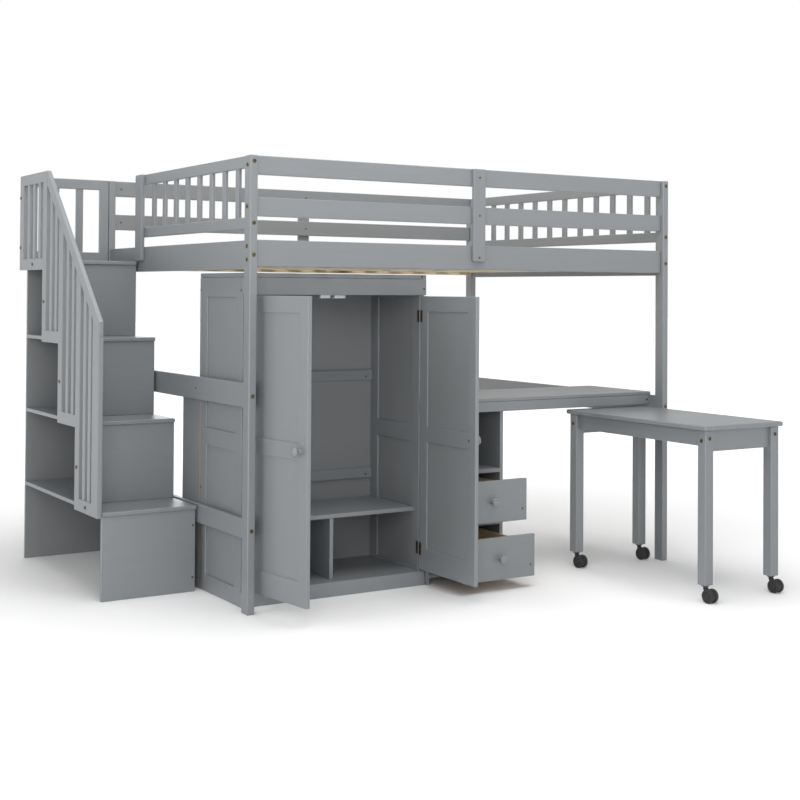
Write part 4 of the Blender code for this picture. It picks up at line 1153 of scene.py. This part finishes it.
# %% Bolts of the table, screws of the drawers
SHORT_BOLT_DOWN, LONG_BOLT_DOWN = 0.039, 0.030
DRAWER_SCREW_IN, DRAWER_SCREW_UP = 0.021, 0.046
base = room("table_base")
leg_y = [base[1, 0] + LEG / 2, base[1, 1] - LEG / 2]
leg_x = [base[0, 0] + LEG / 2, base[0, 1] - LEG / 2]
table_bolts = [heads([(base[0, end], y, base[2, 1] - SHORT_BOLT_DOWN) for y in leg_y], facing)
               for end, facing in ((0, LEFT), (1, RIGHT))]
table_bolts += [heads([(x, base[1, end], base[2, 1] - LONG_BOLT_DOWN) for x in leg_x], facing)
                for end, facing in ((0, FRONT), (1, BACK))]
make_piece("table_bolts", joined(table_bolts), brass, "rolling_table")
for node, whole in drawers.items():
    place = (whole[0, 1] - DRAWER_SCREW_IN, whole[1, 0] + KNOB_OUT,
             whole[2, 0] + DRAWER_SCREW_UP)
    make_piece(node + "_screw", screws([place], FRONT), brass, node)
print("bolted and screwed")

# %% [markdown]
# Each door hangs on two butt hinges.  The barrel stands on the hinge line and its knuckles
# belong to the frame and the door in turn, so half of them turn with the door.  The leaves
# are let in almost flush, one in the door's inner face and one in the side.  Two moulded
# catches behind the header hold the closed doors.

# %% Hinges and catches
BARREL_R, KNUCKLES, LEAF_PROUD, LEAF_W = 0.0034, 5, 0.0002, 0.016
HINGES = ((1.034, 1.081), (0.122, 0.172))
CATCHES = ((-0.0715, -0.0285), (-0.0105, 0.0375))  # along the header, from its middle
CATCH_OFF, CATCH_DEEP, CATCH_DOWN, CATCH_UP = 0.0008, 0.032, 0.013, 0.010


def hinge(hand, way, span):
    """The frame's half and the door's half of one hinge, with the door closed."""
    hx, hy = hinge_x[hand], joints[f"{hand}_door_hinge"]["pos_m"][1]
    ends = np.linspace(*span, KNUCKLES + 1)
    knuckle = [turned_skin([(low + 0.0002, BARREL_R - 0.0005), (low + 0.0007, BARREL_R),
                            (high - 0.0007, BARREL_R), (high - 0.0002, BARREL_R - 0.0005)],
                           (hx, hy - 0.0010, 0.0), (0, 0, 1), 20)
               for low, high in zip(ends, ends[1:])]
    side = room(f"wardrobe_{hand}_side")
    inner = side[0, 1] if way > 0 else side[0, 0]
    frame_leaf = [sorted((inner - way * 0.001, inner + way * LEAF_PROUD)),
                  (side[1, 0] + 0.0005, side[1, 0] + LEAF_W), span]
    door_leaf = [sorted((hx + way * 0.0005, hx + way * LEAF_W)),
                 (face_y[1] - 0.001, face_y[1] + LEAF_PROUD), span]
    return (joined(knuckle[0::2]) + boards([frame_leaf], 0.0003),
            joined(knuckle[1::2]) + boards([door_leaf], 0.0003))


for hand, way in (("left", 1), ("right", -1)):
    halves = [hinge(hand, way, span) for span in HINGES]
    make_piece(f"{hand}_hinge_frame_leaves", joined([half[0] for half in halves]), brass,
               "bed_frame")
    make_piece(f"{hand}_hinge_door_leaves",
               joined([half[1] for half in halves]).turned(*door_turn(hand)), brass,
               hand + "_door")
    inside_face = (hinge_x[hand] + way * (door_w - KNOB_IN), face_y[1], KNOB_Z)
    make_piece(f"{hand}_knob_screw", screws([inside_face], BACK).turned(*door_turn(hand)), brass,
               hand + "_door")

middle = header[0].mean()
catch_y = (header[1, 1] + CATCH_OFF, header[1, 1] + CATCH_DEEP)
catch_z = (header[2, 0] - CATCH_DOWN, header[2, 0] + CATCH_UP)
catches = [((middle + near, middle + far), catch_y, catch_z) for near, far in CATCHES]
make_piece("door_catches", boards(catches, 0.0025), catch_plastic, "bed_frame")
print("hinges:", 4)

# %% [markdown]
# ## Light and floor
#
# The room is a bright studio: a white horizon all round, a dimmer ceiling, and large soft
# lights at the front left, the side, the back and overhead.

# %% Studio
world = bpy.data.worlds.new("studio")
bpy.context.scene.world = world
world.use_nodes = True
sky = Wire(world.node_tree)
height = sky.node("TexCoord").xyz()[2]
HORIZON, CEILING = (1.0, 1.0, 1.0), (0.34, 0.34, 0.34)
glow = sky.node("ValToRGB", {"stops": [(0.0, HORIZON), (0.24, HORIZON), (0.36, CEILING)]},
                {0: height})
world.node_tree.links.new(glow.socket, world.node_tree.nodes["Background"].inputs["Color"])


def area_light(name, at, towards, size, power):
    """A square soft light of the given side and watts, aimed at a point."""
    lamp = bpy.data.lights.new(name, 'AREA')
    lamp.shape, lamp.size, lamp.energy = 'SQUARE', size, power
    holder = bpy.data.objects.new(name, lamp)
    bpy.context.scene.collection.objects.link(holder)
    aim = Vector(towards) - Vector(at)
    facing = aim.to_track_quat('-Z', 'Y').to_matrix().to_4x4()
    holder.matrix_world = Matrix.Translation(Vector(at)) @ facing


middle = Vector([(a + b) / 2 for a, b in zip(*solid_box)])
area_light("front_softbox", (-2.6, -5.0, 2.5), middle, 2.6, 108.0)
area_light("side_softbox", (-5.0, -0.2, 2.6), middle, 2.6, 66.0)
area_light("back_softbox", (1.6, 6.6, 2.6), middle, 3.0, 70.0)
area_light("top_softbox", (0.6, -0.6, 4.6), middle, 4.0, 180.0)
print("lamps:", len(bpy.data.lights))

# %% [markdown]
# The floor is nearly white.  Its glow grows with the distance from the bed: the bed's own
# shadow stays on it, and its far edge can't be told from the horizon.

# %% Floor
REACH, GLOW_FROM, GLOW_TO, GLOW = 40.0, 1.6, 7.0, 0.75
floor_mesh = bpy.data.meshes.new("floor")
floor_mesh.from_pydata([(-REACH, -REACH, 0.0), (REACH, -REACH, 0.0), (REACH, REACH, 0.0),
                        (-REACH, REACH, 0.0)], [], [(0, 1, 2, 3)])
floor = bpy.data.objects.new("floor", floor_mesh)
bpy.context.scene.collection.objects.link(floor)
floor_finish, shader, start = new_material("pale floor")
place = start.node("TexCoord", outlet=3)
speckle = place.noise(6.0, 3.0)
away = start.node("VectorMath", {"operation": 'LENGTH'}, {0: place}, 1).clipped(GLOW_FROM, GLOW_TO)
plug(shader, Base_Color=((speckle - 0.5) * 0.02 + 0.90).shade((1.0, 1.0, 1.0)), Roughness=0.85,
     Emission_Color=(away * GLOW).shade((1.0, 1.0, 1.0)), Emission_Strength=1.0)
floor_mesh.materials.append(floor_finish)
bpy.context.scene.view_settings.view_transform = 'Standard'
print("floor reaches", REACH, "m")

# %% [markdown]
